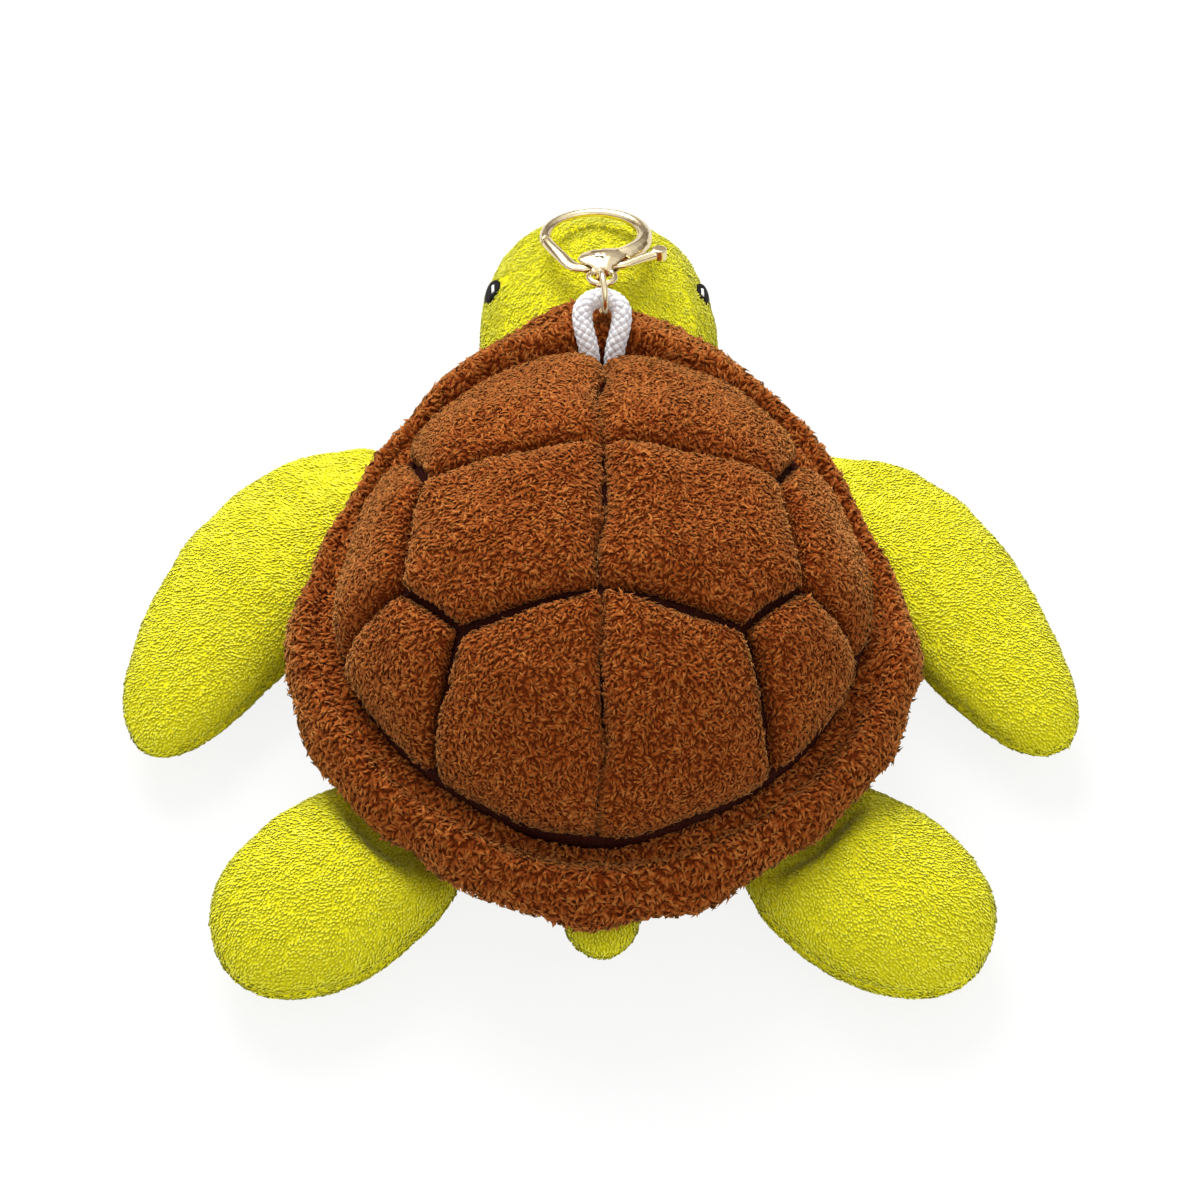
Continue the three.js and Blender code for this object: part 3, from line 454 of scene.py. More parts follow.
def grained_material(name, kind, size, pattern, stops, depth, finish):
    """A material whose grain, size millimetres wide, runs through colour stops and stands out
    by depth millimetres, with the rest of its finish by shader input."""
    made, add, shader, place = material_base(name)
    grain = add(kind, {"Vector": place, "Scale": per_mm(size), **pattern})
    set_inputs(shader, {
        "Base Color": add("ShaderNodeValToRGB", {"Fac": grain}, stops),
        "Normal": add("ShaderNodeBump", {"Height": grain, "Distance": depth * MM}),
        **finish,
    })
    return made


def backing_material(name, colour):
    """Knitted polyester backing under the pile: fine loops about 1 mm apart, matt."""
    return grained_material(
        name, "ShaderNodeTexVoronoi", 1.0, {}, ((0.1, colour), (0.7, scaled(colour, 0.8))), 0.3,
        {"Roughness": 0.95, "Specular IOR Level": 0.1, "IOR": MATT_IOR},
    )


def fibre_material():
    """Loose polyester fibre: off-white, matt, with a curly grain about 2 mm wide."""
    return grained_material(
        "polyester fibre filling", "ShaderNodeTexNoise", 2, {"Detail": 5.0, "Distortion": 2.0},
        ((0.3, srgb("#DAD6CC")), (0.7, srgb("#F8F5EE"))), 0.8, {"Roughness": 1.0},
    )


def thread_material(name, colour, roughness, shine=0.25):
    """Twisted polyester thread: soft shine, with a twist about 0.5 mm long."""
    light = tuple(min(1, c * 1.12 + 0.01) for c in colour)
    return grained_material(
        name, "ShaderNodeTexNoise", 0.5, {"Detail": 3.0},
        ((0.3, scaled(colour, 0.72)), (0.7, light)), 0.08,
        {"Roughness": roughness, "Specular IOR Level": shine, "IOR": 1.2},
    )


def metal_material(name, colour, roughness):
    """Plated and polished casting: clear reflections, with faint cloudy polish about 3 mm wide
    and hairline scratches about 0.4 mm apart."""
    made, add, shader, place = material_base(name)
    cloud = add("ShaderNodeTexNoise", {"Vector": place, "Scale": per_mm(3), "Detail": 3.0})
    stretched = add("ShaderNodeMapping", {"Vector": place, "Scale": (1, 0.08, 1)})
    scratches = add(
        "ShaderNodeTexNoise", {"Vector": stretched, "Scale": per_mm(0.4), "Detail": 4.0}
    )
    set_inputs(shader, {
        "Base Color": add(
            "ShaderNodeValToRGB", {"Fac": cloud}, ((0.3, scaled(colour, 0.9)), (0.7, colour))
        ),
        "Roughness": add(
            "ShaderNodeMapRange",
            {"Value": cloud, "To Min": roughness - 0.05, "To Max": roughness + 0.07},
        ),
        "Normal": add("ShaderNodeBump", {"Height": scratches, "Distance": 0.006 * MM}),
        "Metallic": 1.0,
    })
    return made


def material(name):
    """The turtle's finishes, each made once."""
    pile, trims = bpy.context.scene.turtle_pile, bpy.context.scene.turtle_trims
    brown = (pile.brown_root, pile.brown_body, pile.brown_tip, pile.brown_shine)
    lime = (pile.lime_root, pile.lime_body, pile.lime_tip, pile.lime_shine)
    makers = {
        "brown plush pile": lambda: pile_material(name, *brown, 1.0, 0.66),
        "lime plush pile": lambda: pile_material(name, *lime, 0.4, 0.86),
        "brown knitted backing": lambda: backing_material(name, scaled(pile.brown_root, 1.4)),
        "lime knitted backing": lambda: backing_material(name, pile.lime_root),
        "polyester fibre filling": fibre_material,
        "white polyester braid": lambda: thread_material(name, trims.cord_colour, 0.6),
        "dark quilting thread and seam shade": lambda: thread_material(name, trims.thread_and_seam_shade, 0.8, 0.04),
        "black embroidery thread": lambda: thread_material(name, trims.thread_black, 0.42),
        "white embroidery thread": lambda: thread_material(name, trims.thread_white, 0.5),
        "pale gold plated casting": lambda: metal_material(name, trims.gold, 0.2),
        "bright steel wire": lambda: metal_material(name, trims.steel, 0.22),
    }
    return bpy.data.materials.get(name) or makers[name]()


# Pile


def pile_tree():
    """Tufts on a surface: each a three-sided bent cone whose foot stands on the surface.
    The surface's attributes say which way the pile lies, how long it is and where it grows."""
    found = bpy.data.node_groups.get("Plush pile")
    if found:
        return found
    tree, wanted = node_group(
        "Plush pile", Geometry="Geometry", Spacing="Float", Length="Float", Slimness="Float",
        Lean="Float", Bend="Float", Unruliness="Float", Clump="Float", Clumping="Float",
        Seed="Int", Material="Material",
    )
    add = partial(add_node, tree)
    cover, pile, lay = (
        add("GeometryNodeInputNamedAttribute", {"Name": note}, data_type=kind)
        for note, kind in PAD_NOTES.items()
    )
    square = add(MATH, {0: wanted["Spacing"], 1: wanted["Spacing"]}, operation="MULTIPLY")
    spots = add(
        "GeometryNodeDistributePointsOnFaces",
        {
            "Mesh": wanted["Geometry"],
            "Distance Min": wanted["Spacing"],
            "Density Max": add(MATH, {0: 2.0, 1: square}, operation="DIVIDE"),
            "Density Factor": cover,
            "Seed": wanted["Seed"],
        },
        distribute_method="POISSON",
    ).outputs
    rooted = add(
        "GeometryNodeStoreNamedAttribute",
        {"Geometry": spots["Points"], "Name": "skin", "Value": spots["Normal"]},
        data_type="FLOAT_VECTOR",
    )
    # One tuft: a cone of unit height, fuller in the middle and bent over towards its end
    cone = add(
        "GeometryNodeMeshCone",
        {"Vertices": 3, "Side Segments": 2, "Radius Bottom": wanted["Slimness"], "Depth": 1.0},
        fill_type="NONE",
    )
    where = add("GeometryNodeInputPosition")
    high = add("ShaderNodeSeparateXYZ", {0: where}).outputs["Z"]
    squared = add(MATH, {0: high, 1: high}, operation="MULTIPLY")
    over = add(MATH, {0: squared, 1: wanted["Bend"]}, operation="MULTIPLY")
    fall = add(MATH, {0: over, 1: TUFT_FALL}, operation="MULTIPLY")
    wider = (TUFT_FULLNESS, TUFT_FULLNESS, 0)
    fuller = add(VECTOR_MATH, {0: where, 1: wider}, operation="MULTIPLY")
    fuller = add(VECTOR_MATH, {0: fuller, "Scale": high}, operation="SCALE")
    curl = add("ShaderNodeCombineXYZ", {"X": over, "Z": fall})
    kept = add(
        "GeometryNodeStoreNamedAttribute", {"Geometry": cone, "Name": "along", "Value": high}
    )
    shift = add(VECTOR_MATH, {0: fuller, 1: curl}, operation="ADD")
    tuft = add("GeometryNodeSetPosition", {"Geometry": kept, "Offset": shift})
    stray = add(
        "FunctionNodeRandomValue", {0: (-1, -1, -1), 1: (1, 1, 1), "Seed": wanted["Seed"]},
        data_type="FLOAT_VECTOR",
    )
    strays = add(VECTOR_MATH, {0: stray, "Scale": wanted["Unruliness"]}, operation="SCALE")
    leant = add(VECTOR_MATH, {0: lay, "Scale": wanted["Lean"]}, operation="SCALE")
    # Neighbouring tufts lean towards each other and curl up in clumps
    foot = add("GeometryNodeInputPosition")
    crowded = add(MATH, {0: 1.0, 1: wanted["Clump"]}, operation="DIVIDE")
    heart = add("ShaderNodeTexVoronoi", {"Vector": foot, "Scale": crowded}).outputs["Position"]
    toward = add(VECTOR_MATH, {0: heart, 1: foot}, operation="SUBTRACT")
    pull = add(MATH, {0: wanted["Clumping"], 1: crowded}, operation="MULTIPLY")
    drawn = add(VECTOR_MATH, {0: toward, "Scale": pull}, operation="SCALE")
    strays = add(VECTOR_MATH, {0: drawn, 1: strays}, operation="ADD")
    risen = add(VECTOR_MATH, {0: spots["Normal"], 1: leant}, operation="ADD")
    up = add(VECTOR_MATH, {0: risen, 1: strays}, operation="ADD")
    ahead = add(VECTOR_MATH, {0: leant, 1: strays}, operation="ADD")
    upright = add("FunctionNodeAlignRotationToVector", {"Vector": up}, axis="Z")
    turned = add(
        "FunctionNodeAlignRotationToVector", {"Rotation": upright, "Vector": ahead},
        axis="X", pivot_axis="Z",
    )
    least, most = TUFT_SIZES
    uneven = add(
        "FunctionNodeRandomValue", {2: least, 3: most, "Seed": wanted["Seed"]}
    ).outputs[1]
    size = add(MATH, {0: uneven, 1: wanted["Length"]}, operation="MULTIPLY")
    size = add(MATH, {0: size, 1: pile}, operation="MULTIPLY")
    tufts = add(
        "GeometryNodeInstanceOnPoints",
        {"Points": rooted, "Instance": tuft, "Rotation": turned, "Scale": size},
    )
    dye = add("FunctionNodeRandomValue", {"Seed": 7}).outputs[1]
    dyed = add(
        "GeometryNodeStoreNamedAttribute", {"Geometry": tufts, "Name": "shade", "Value": dye},
        domain="INSTANCE",
    )
    put_out(tree, dyed, wanted["Material"])
    return tree


def neighbours(wanted):
    """The wanted CAD solids as one tree, to find how near they are."""
    points, faces = [], []
    for name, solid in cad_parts.items():
        if wanted(name):
            first = len(points)
            points += [v.co.copy() for v in solid.data.vertices]
            faces += [[first + i for i in p.vertices] for p in solid.data.polygons]
    return BVHTree.FromPolygons(points, faces)


def away_from(points, wanted):
    """How far points are from the nearest of the wanted CAD solids."""
    others = neighbours(wanted)
    return np.array([others.find_nearest(Vector(p))[3] for p in points])


def undulate(piece, depth, width, seed):
    """Uneven stuffing: slow swells of the surface, depth high and width across."""
    points, normals = surface(piece)
    shift = Vector((seed * 3.7, seed * 1.3, seed * 2.1))
    swell = [noise.noise(Vector(p) / width + shift) for p in points]
    move_to(piece, points + normals * (np.array(swell) * depth)[:, None])


def openness(along):
    """How open the seam down the shell's middle is, 0 to 1: its pile hides it but for some
    places, along being in millimetres."""
    start, over = MIDDLE_FRONT
    pull = MIDDLE_FRONT_OPEN * np.clip((along - start) / over, 0, 1)
    for place, width in MIDDLE_HOLES:
        pull = np.maximum(pull, MIDDLE_HOLE_OPEN * np.exp(-(((along - place) / width) ** 2)))
    return pull


def crossing(point):
    """How much the pile at a point lies over the shell's middle seam, 0 to 1."""
    return math.exp(-((point.x / (1.3 * MM)) ** 2)) * (1 - openness(point.y / MM))


def draw_in(piece, node, reach, depth):
    """Pulls a brown pad in where it is sewn to the next ones, within about reach of them."""
    points, normals = surface(piece)
    away = away_from(points, lambda name: name != node and name in SHELL)
    pull = openness(points[:, 1] / MM)
    band, fade = MIDDLE_BAND
    middle = np.clip((np.abs(points[:, 0]) / MM - band) / fade, 0, 1)
    pull = pull + (1 - pull) * middle
    near = np.exp(-((away / reach) ** 2)) * pull
    # Where the middle seam is closed its edges meet, and the pile stands up along them
    close, shift = MIDDLE_MEET
    facing = (1 - middle) * (away < close * MM)
    points[:, 0] -= np.sign(points[:, 0]) * facing * (1 - pull) * shift * MM
    width, rise = MIDDLE_RISE
    filled = np.exp(-((points[:, 0] / (width * MM)) ** 2)) * (1 - pull)
    points[:, 2] += filled * np.clip(normals[:, 2], 0, 1) * rise * MM
    # The middle seam wanders a little, as a hand-guided one does
    along = points[:, 1] / MM
    sway = sum(swing * np.sin(along / length + start) for swing, length, start in MIDDLE_WAVES)
    points[:, 0] += (1 - middle) * sway * MM
    move_to(piece, points - normals * (near * depth)[:, None])
    return near


def lean_aside(piece):
    """The hand-stuffed head is a little askew, to its left towards the nose."""
    points, normals = surface(piece)
    start, over, by = HEAD_LEAN
    share = np.clip((points[:, 1] / MM - start) / over, 0, 1)
    points[:, 0] -= by * MM * share
    move_to(piece, points)


def slim_down(piece):
    """The right front flipper is sewn narrower along its leading edge than the left one."""
    points, normals = surface(piece)
    out, start, over, by = FLIPPER_SLIM
    out = np.array(out)
    edge = np.clip((points @ out / MM - start) / over, 0, 1)
    move_to(piece, points - (edge * by * MM)[:, None] * out)


def crown(piece, reach, height):
    """Fills a roll out along the line at about reach from the dome, with a fold inside it."""
    points, normals = surface(piece)
    away = away_from(points, lambda name: name.startswith("scute"))
    crest = np.exp(-(((away - reach) / (0.4 * reach)) ** 2))
    fold = np.exp(-(((away - 0.5 * reach) / (0.16 * reach)) ** 2))
    points[:, 2] += (crest - 0.7 * fold) * np.clip(normals[:, 2], 0, 1) * height
    move_to(piece, points)


def groove(piece, tilt, spread, depth):
    """A sewn seam along the line where the surface's normal rises by tilt."""
    points, normals = surface(piece)
    near = np.exp(-(((normals[:, 2] - tilt) / spread) ** 2))
    move_to(piece, points - normals * (near * depth)[:, None])
    return near


def crease(piece, start, end, width, depth):
    """A short fold between two points, given in millimetres."""
    points, normals = surface(piece)
    a, b = np.array(start) * MM, np.array(end) * MM
    share = np.clip(((points - a) @ (b - a)) / ((b - a) @ (b - a)), 0, 1)
    away = np.linalg.norm(points - (a + share[:, None] * (b - a)), axis=1)
    near = np.exp(-((away / width) ** 2))
    move_to(piece, points - normals * (near * depth)[:, None])


def lay_pile(pad, node, length, flow, seam, dye):
    """Writes on a pad which way its pile lies, how long it is and where it grows."""
    points, normals = surface(pad)
    others = neighbours(lambda name: name != node)
    tangle = PILE_TANGLE[dye]
    pile = np.empty(len(points))
    lay = np.empty((len(points), 3))
    for i, (p, n) in enumerate(zip(points, normals)):
        point, normal = Vector(p), Vector(n)
        hit = others.ray_cast(point + normal * PILE_GAP * MM, normal, 2 * length)
        room = hit[3] if hit[0] else 2 * length
        if normal.z < 0:
            room = min(room, max(0, point.z) / -normal.z)
        pile[i] = min(1, max(0, room - PILE_GAP * MM) / length)
        # A scute's rounded seam edges keep most of their pile
        if node.startswith("scute"):
            out = normal.dot(Vector((point.x, point.y, point.z - 0.01)).normalized())
            pile[i] = max(pile[i], 0.8 * min(1, max(0, (out - 0.3) / 0.4)))
        # Pile at a seam leans over it, and everywhere it is tousled in wide and fine waves
        run = flow(point)
        if seam[i] > 0.25:
            run += (others.find_nearest(point)[0] - point).normalized() * SEAM_LEAN * seam[i]
        run = run - normal * run.dot(normal)
        run = run.normalized() if run.length > 1e-6 else normal.orthogonal()
        turn = sum(by * noise.noise(point / (width * MM)) for by, width in LIE_WAVES)
        run.rotate(Matrix.Rotation(tangle * turn, 3, normal))
        by, width = LEAN_WAVE
        lay[i] = run * (1 + by * tangle * noise.noise(point / (width * MM) + Vector((5, 5, 5))))
        by, width = LENGTH_WAVE
        pile[i] *= 1 + by * tangle * noise.noise(point / (width * MM) + Vector((9, 0, 9)))
        if node.startswith("scute"):
            lay[i] *= 1 + SEAM_FLATTER * crossing(point)
    pile *= 1 - SEAM_SHORTER * seam
    grown = pile > LEAST_PILE
    for (note, kind), values in zip(PAD_NOTES.items(), (grown, pile, lay)):
        pad.data.attributes.new(note, kind, "POINT").data.foreach_set(
            "vector" if kind == "FLOAT_VECTOR" else "value", values.astype(np.float32).ravel()
        )


def grow_pile(name, pad, body, dye, length, spacing, seed, side=0):
    """Grows the pile of one pad, or of its half on one side, as a piece of its own."""
    piece = link(bpy.data.objects.new(name, pad.data.copy()))
    if side:
        points, normals = surface(piece)
        cover = np.empty(len(points), np.float32)
        half = piece.data.attributes["cover"].data
        half.foreach_get("value", cover)
        half.foreach_set("value", cover * (points[:, 0] * side > 0))
    run_tree(piece, pile_tree(), {
        "Spacing": spacing, "Length": length, "Seed": seed,
        "Material": material(f"{dye} plush pile"), **PILE_LIE[dye],
    })
    wipe_notes(piece)
    finish_piece(piece, body, f"{dye}_plush", None)


def wipe_notes(piece):
    for note in PAD_NOTES:
        spare = piece.data.attributes.get(note)
        if spare:
            piece.data.attributes.remove(spare)


def plush(
    node, body, dye, flow, voxel, swell, seed, seam=None, sewn=None, filled=None, creases=()
):
    """One stuffed piece of the turtle with its pile. What seam, sewn, filled and each crease
    hold is given to groove, draw_in, crown and crease."""
    settings = bpy.context.scene.turtle_pile
    longer, sparser = PILE_SHARES.get(node, (1, 1))
    length = getattr(settings, f"{dye}_length") * longer
    spacing = getattr(settings, f"{dye}_spacing") * sparser
    pad = softened(f"{node}_pad", node, voxel, *PAD_ROUNDING.get(node, PAD_ROUNDING[dye]))
    undulate(pad, swell, 11 * MM, seed)
    near = groove(pad, *seam) if seam else np.zeros(len(pad.data.vertices))
    if node == "head":
        lean_aside(pad)
    if node == "flipper_front_right":
        slim_down(pad)
    if filled:
        crown(pad, *filled)
    if sewn:
        near = np.maximum(near, draw_in(pad, node, *sewn))
    for start, end, width, depth in creases:
        crease(pad, start, end, width * MM, depth * MM)
    points, normals = surface(pad)
    points[:, 2] = np.maximum(points[:, 2], 0.02 * MM)
    move_to(pad, points)
    lay_pile(pad, node, length, flow, near, dye)
    # The brim's pile is grown in two halves, which keeps each under the limit for one piece
    halves = [(f"_{name}", side) for name, side in SIDES] if node == "shell_brim" else [("", 0)]
    for ending, side in halves:
        grow_pile(f"{node}_pile{ending}", pad, body, dye, length, spacing, seed, side)
    wipe_notes(pad)
    finish_piece(pad, body, f"{dye}_plush", material(f"{dye} knitted backing"), node)


def downhill(point):
    """Brown pile runs down and away from the top of the shell, and over the middle seam."""
    over = crossing(point)
    away = Vector((point.x - math.copysign(0.15 * over, point.x), point.y + 0.003, 0))
    return away + Vector((0, -0.02, -0.03))


# The shell's seams


def on_dome(p, q, grow):
    """A point on the dome from its shares across and along, in metres."""
    angle = math.atan2(q, p)
    fullness = DOME_FULLNESS["front" if q > 0 else "rear"]
    reach = DOME["front" if q > 0 else "rear"] + grow
    power = 2 / fullness
    share = min(1, math.hypot(p, q)) * math.pi / 2
    across, ahead = math.cos(angle), math.sin(angle)
    x = (DOME["half_width"] + grow) * math.copysign(abs(across) ** power, across)
    y = reach * math.copysign(abs(ahead) ** power, ahead) * math.sin(share) + DOME["middle_y"]
    rise = max(0, (y - ARCH_START) / (ARCH_END - ARCH_START))
    foot = DOME["base"] + ARCH_LIFT * rise * rise
    z = foot + (DOME["top"] + grow - foot) * math.cos(share)
    return Vector((x * math.sin(share), y, z)) * MM


def seam_paths(depth):
    """The quilting seams as rows of points, both sides, depth millimetres under the dome."""
    steps = 14
    paths = []
    for name, corners in SEAM_NET.items():
        for side in (1,) if name == "centre" else (1, -1):
            for (p, q), (to_p, to_q) in zip(corners, corners[1:]):
                shares = [k / steps for k in range(steps + 1)]
                paths.append([
                    on_dome(side * (p + (to_p - p) * t), q + (to_q - q) * t, -depth)
                    for t in shares
                ])
    return paths


def stitch_tree():
    """Stitches along the edges of a path mesh, one after another, each a thread that dips
    at both ends."""
    tree, wanted = node_group(
        "Running stitches", Geometry="Geometry", Pitch="Float", Stitch="Float", Thread="Float",
        Material="Material",
    )
    add = partial(add_node, tree)
    path = add("GeometryNodeMeshToCurve", {"Mesh": wanted["Geometry"]})
    spots = add(
        "GeometryNodeCurveToPoints", {"Curve": path, "Length": wanted["Pitch"]}, mode="LENGTH"
    ).outputs
    start, end = (
        add("ShaderNodeCombineXYZ", {
            "Z": add(MATH, {0: wanted["Stitch"], 1: share}, operation="MULTIPLY")
        })
        for share in (-0.5, 0.5)
    )
    line = add("GeometryNodeCurvePrimitiveLine", {"Start": start, "End": end})
    bent = add("GeometryNodeResampleCurve", {"Curve": line, "Count": 5})
    # The thread is thickest in the middle of the stitch, where it lies free
    share = add("GeometryNodeSplineParameter").outputs["Factor"]
    arch = add("ShaderNodeMapRange", {"Value": share, "To Max": math.pi})
    rise = add(MATH, {0: arch}, operation="SINE")
    thick = add("ShaderNodeMapRange", {"Value": rise, "To Min": 0.45, "To Max": 1.0})
    around = add(
        "GeometryNodeCurvePrimitiveCircle", {"Resolution": 6, "Radius": wanted["Thread"]}
    )
    thread = add(
        "GeometryNodeCurveToMesh",
        {"Curve": bent, "Profile Curve": around, "Scale": thick, "Fill Caps": True},
    )
    laid = add(
        "GeometryNodeInstanceOnPoints",
        {"Points": spots["Points"], "Instance": thread, "Rotation": spots["Rotation"]},
    )
    put_out(tree, laid, wanted["Material"])
    return tree


def path_object(name, paths):
    """Open rows of points as one mesh of edges."""
    points, edges = [], []
    for path in paths:
        edges += [(len(points) + i, len(points) + i + 1) for i in range(len(path) - 1)]
        points += path
    mesh = bpy.data.meshes.new(name)
    mesh.from_pydata([tuple(p) for p in points], edges, [])
    return link(bpy.data.objects.new(name, mesh))


def wall(name, tops, feet, thickness):
    """A thin upright strip of cloth between two rows of points."""
    points, faces = [], []
    for i, (top, foot) in enumerate(zip(tops, feet)):
        ahead = tops[min(i + 1, len(tops) - 1)] - tops[max(i - 1, 0)]
        across = ahead.cross(top - foot).normalized() * thickness / 2
        points += [top + across, top - across, foot - across, foot + across]
        if i:
            a, b = 4 * i - 4, 4 * i
            faces += [(a + k, b + k, b + (k + 1) % 4, a + (k + 1) % 4) for k in range(4)]
    last = len(points) - 4
    faces += [(0, 1, 2, 3), (last, last + 1, last + 2, last + 3)]
    return new_piece(name, points, faces, smooth=False)


# Braid


def smooth_line(points, steps):
    """Points on a smooth curve through the given ones."""
    ends = [2 * points[0] - points[1], *points, 2 * points[-1] - points[-2]]
    line = []
    for a, b, c, d in zip(ends, ends[1:], ends[2:], ends[3:]):
        for k in range(steps):
            t = k / steps
            line.append(
                0.5 * (2 * b + (c - a) * t + (2 * a - 5 * b + 4 * c - d) * t * t
                       + (3 * b - a - 3 * c + d) * t ** 3)
            )
    return [*line, points[-1]]


def carried_frames(line):
    """At each point of a line, two directions square to it that never spin."""
    side = Vector((1, 0, 0))
    frames = []
    for i, point in enumerate(line):
        ahead = (line[min(i + 1, len(line) - 1)] - line[max(i - 1, 0)]).normalized()
        side = (side - ahead * side.dot(ahead)).normalized()
        frames.append((point, side.copy(), ahead.cross(side)))
    return frames


def tube(rings):
    """Points and faces of a closed tube over rings of equal size."""
    size = len(rings[0])
    faces = [
        (first + i, first + (i + 1) % size, first + size + (i + 1) % size, first + size + i)
        for first in range(0, (len(rings) - 1) * size, size)
        for i in range(size)
    ]
    last = (len(rings) - 1) * size
    faces += [tuple(range(size)), tuple(last + i for i in range(size))]
    return [p for ring in rings for p in ring], faces


def round_tube(name, frames, radius, sides):
    turns = [2 * math.pi * i / sides for i in range(sides)]
    return new_piece(name, *tube([
        [p + u * math.cos(t) * radius + v * math.sin(t) * radius for t in turns]
        for p, u, v in frames
    ]))


def braid_strand(frames, reach, start, handed, lead):
    """One strand of a round braid, passing over and under those that run the other way."""
    rings, travelled = [], 0.0
    for i, (point, u, v) in enumerate(frames):
        if i:
            travelled += (point - frames[i - 1][0]).length
        turn = handed * 2 * math.pi * travelled / lead + start
        weave = handed * math.cos(math.pi * travelled / (lead / (2 * STRANDS)))
        out = u * math.cos(turn) + v * math.sin(turn)
        around = v * math.cos(turn) - u * math.sin(turn)
        ahead = u.cross(v)
        across = (around - ahead * handed * 2 * math.pi * reach / lead).normalized()
        middle = point + out * (reach + weave * STRAND_WEAVE * MM)
        rings.append([
            middle + across * math.cos(k * math.pi / 3) * STRAND_HALF[0] * MM
            + out * math.sin(k * math.pi / 3) * STRAND_HALF[1] * MM
            for k in range(6)
        ])
    return new_piece("strand", *tube(rings))


# Operators


class TURTLE_OT_stage(bpy.types.Operator):
    """Builds the floor, soft light and the camera at the photograph's angle"""

    bl_idname = "turtle.stage"
    bl_label = "Stage"

    def execute(self, context):
        stage = context.scene.turtle_stage
        scene = context.scene
        corners = [(x, y, -0.0001) for x, y in ((-2, -2), (2, -2), (2, 2), (-2, 2))]
        floor = new_piece("floor", corners, [(0, 1, 2, 3)])
        made, add, shader, place = material_base("matt white studio paper")
        set_inputs(shader, {
            "Base Color": (*stage.floor_colour, 1),
            "Roughness": 0.9,
            "Specular IOR Level": 0.1,
        })
        # The floor looks white where it is seen, and keeps most of its shadow
        glow = add("ShaderNodeEmission")
        share = add(MATH, {0: self.seen_rays(add), 1: 0.86}, operation="MULTIPLY")
        self.show(made, add("ShaderNodeMixShader", {0: share, 1: shader, 2: glow}))
        floor.data.materials.append(made)
        self.reflection_glow_wall()

        world = scene.world or bpy.data.worlds.new("studio")
        scene.world = world
        world.use_nodes = True
        world.node_tree.nodes.clear()
        add = partial(add_node, world.node_tree)
        strength = add(
            "ShaderNodeMapRange",
            {"Value": self.seen_rays(add), "To Min": stage.sky_strength, "To Max": 1.0},
        )
        light = add("ShaderNodeBackground", {"Color": (1, 1, 1, 1), "Strength": strength})
        add("ShaderNodeOutputWorld", {"Surface": light})

        self.lamp("key light", (-0.2, 0.72, 0.72), 0.7, stage.key_power)
        self.lamp("fill light", (0.5, -0.45, 0.8), 0.9, stage.key_power * 0.1)
        self.camera(scene, stage)
        return {"FINISHED"}

    def seen_rays(self, add):
        """1 for rays from the camera, in mirrors and through glass, and otherwise 0."""
        rays = add("ShaderNodeLightPath").outputs
        seen = rays["Is Camera Ray"]
        for kind in ("Is Glossy Ray", "Is Transmission Ray"):
            seen = add(MATH, {0: seen, 1: rays[kind]}, operation="MAXIMUM")
        return seen

    def show(self, made, surface):
        set_inputs(made.node_tree.nodes["Material Output"], {"Surface": surface})

    def reflection_glow_wall(self):
        """A warm grey wall round the studio that glows though it is no lamp and that only the
        metal
        mirrors: painted reflections, dark warm brown low down and pale at its top.
        """
        count, reach, height = 24, 1.2, 0.85
        turns = [2 * math.pi * i / count for i in range(count)]
        points = [
            (reach * math.cos(t), reach * math.sin(t), z) for z in (0, height) for t in turns
        ]
        faces = [(i, (i + 1) % count, count + (i + 1) % count, count + i) for i in range(count)]
        around = new_piece("studio wall", points, faces)
        made, add, shader, place = material_base("glowing wall for painted reflections")
        high = add("ShaderNodeSeparateXYZ", {0: place}).outputs["Z"]
        share = add("ShaderNodeMapRange", {"Value": high, "From Min": 0.1, "From Max": height})
        colour = add(
            "ShaderNodeValToRGB", {"Fac": share},
            ((0.0, srgb("#624C34")), (1.0, srgb("#FFFFFF"))),
        )
        self.show(made, add("ShaderNodeEmission", {"Color": colour}))
        around.data.materials.append(made)
        for rays in ("camera", "diffuse", "transmission", "shadow"):
            setattr(around, f"visible_{rays}", False)

    def lamp(self, name, place, size, power):
        data = bpy.data.lights.new(name, "AREA")
        data.shape, data.size, data.energy = "DISK", size, power
        lamp = link(bpy.data.objects.new(name, data))
        lamp.location = place
        lamp.rotation_euler = (-Vector(place)).to_track_quat("-Z", "Y").to_euler()

    def camera(self, scene, stage):
        data = bpy.data.cameras.new("camera")
        data.lens = stage.lens
        data.sensor_width = 36
        data.clip_start = 0.01
        data.shift_x, data.shift_y = (shift / PHOTO_WIDTH for shift in VIEW_SHIFT)
        camera = link(bpy.data.objects.new("camera", data))
        back = Vector((0, -math.cos(stage.elevation), math.sin(stage.elevation)))
        camera.location = VIEW_MIDDLE + back * stage.distance
        camera.rotation_euler = (-back).to_track_quat("-Z", "Y").to_euler()
        scene.camera = camera
        scene.view_settings.view_transform = "Standard"


class TURTLE_OT_cord(bpy.types.Operator):
    """Braids the white cord loop, both ends sewn in behind the brim"""

    bl_idname = "turtle.cord"
    bl_label = "Cord loop"

    def execute(self, context):
        trims = context.scene.turtle_trims
        route = [Vector(p) * MM for p in CORD_HALF]
        route = [*route, Vector(CORD_BIGHT) * MM, *[Vector((-p.x, p.y, p.z)) for p in route[::-1]]]
        line = smooth_line(route, 12)
        frames = carried_frames(line)
        reach = trims.cord_diameter / 2 - STRAND_UNDER * MM
        pieces = [round_tube("core", frames, reach - 0.1 * MM, 12)]
        for k in range(STRANDS):
            for handed in (1, -1):
                start = 2 * math.pi * k / STRANDS
                pieces.append(braid_strand(frames, reach, start, handed, trims.cord_lead))
        cord = join("cord_loop_braid", pieces)
        finish_piece(cord, "cord", "white_cord", material("white polyester braid"), "cord_loop")
        return {"FINISHED"}


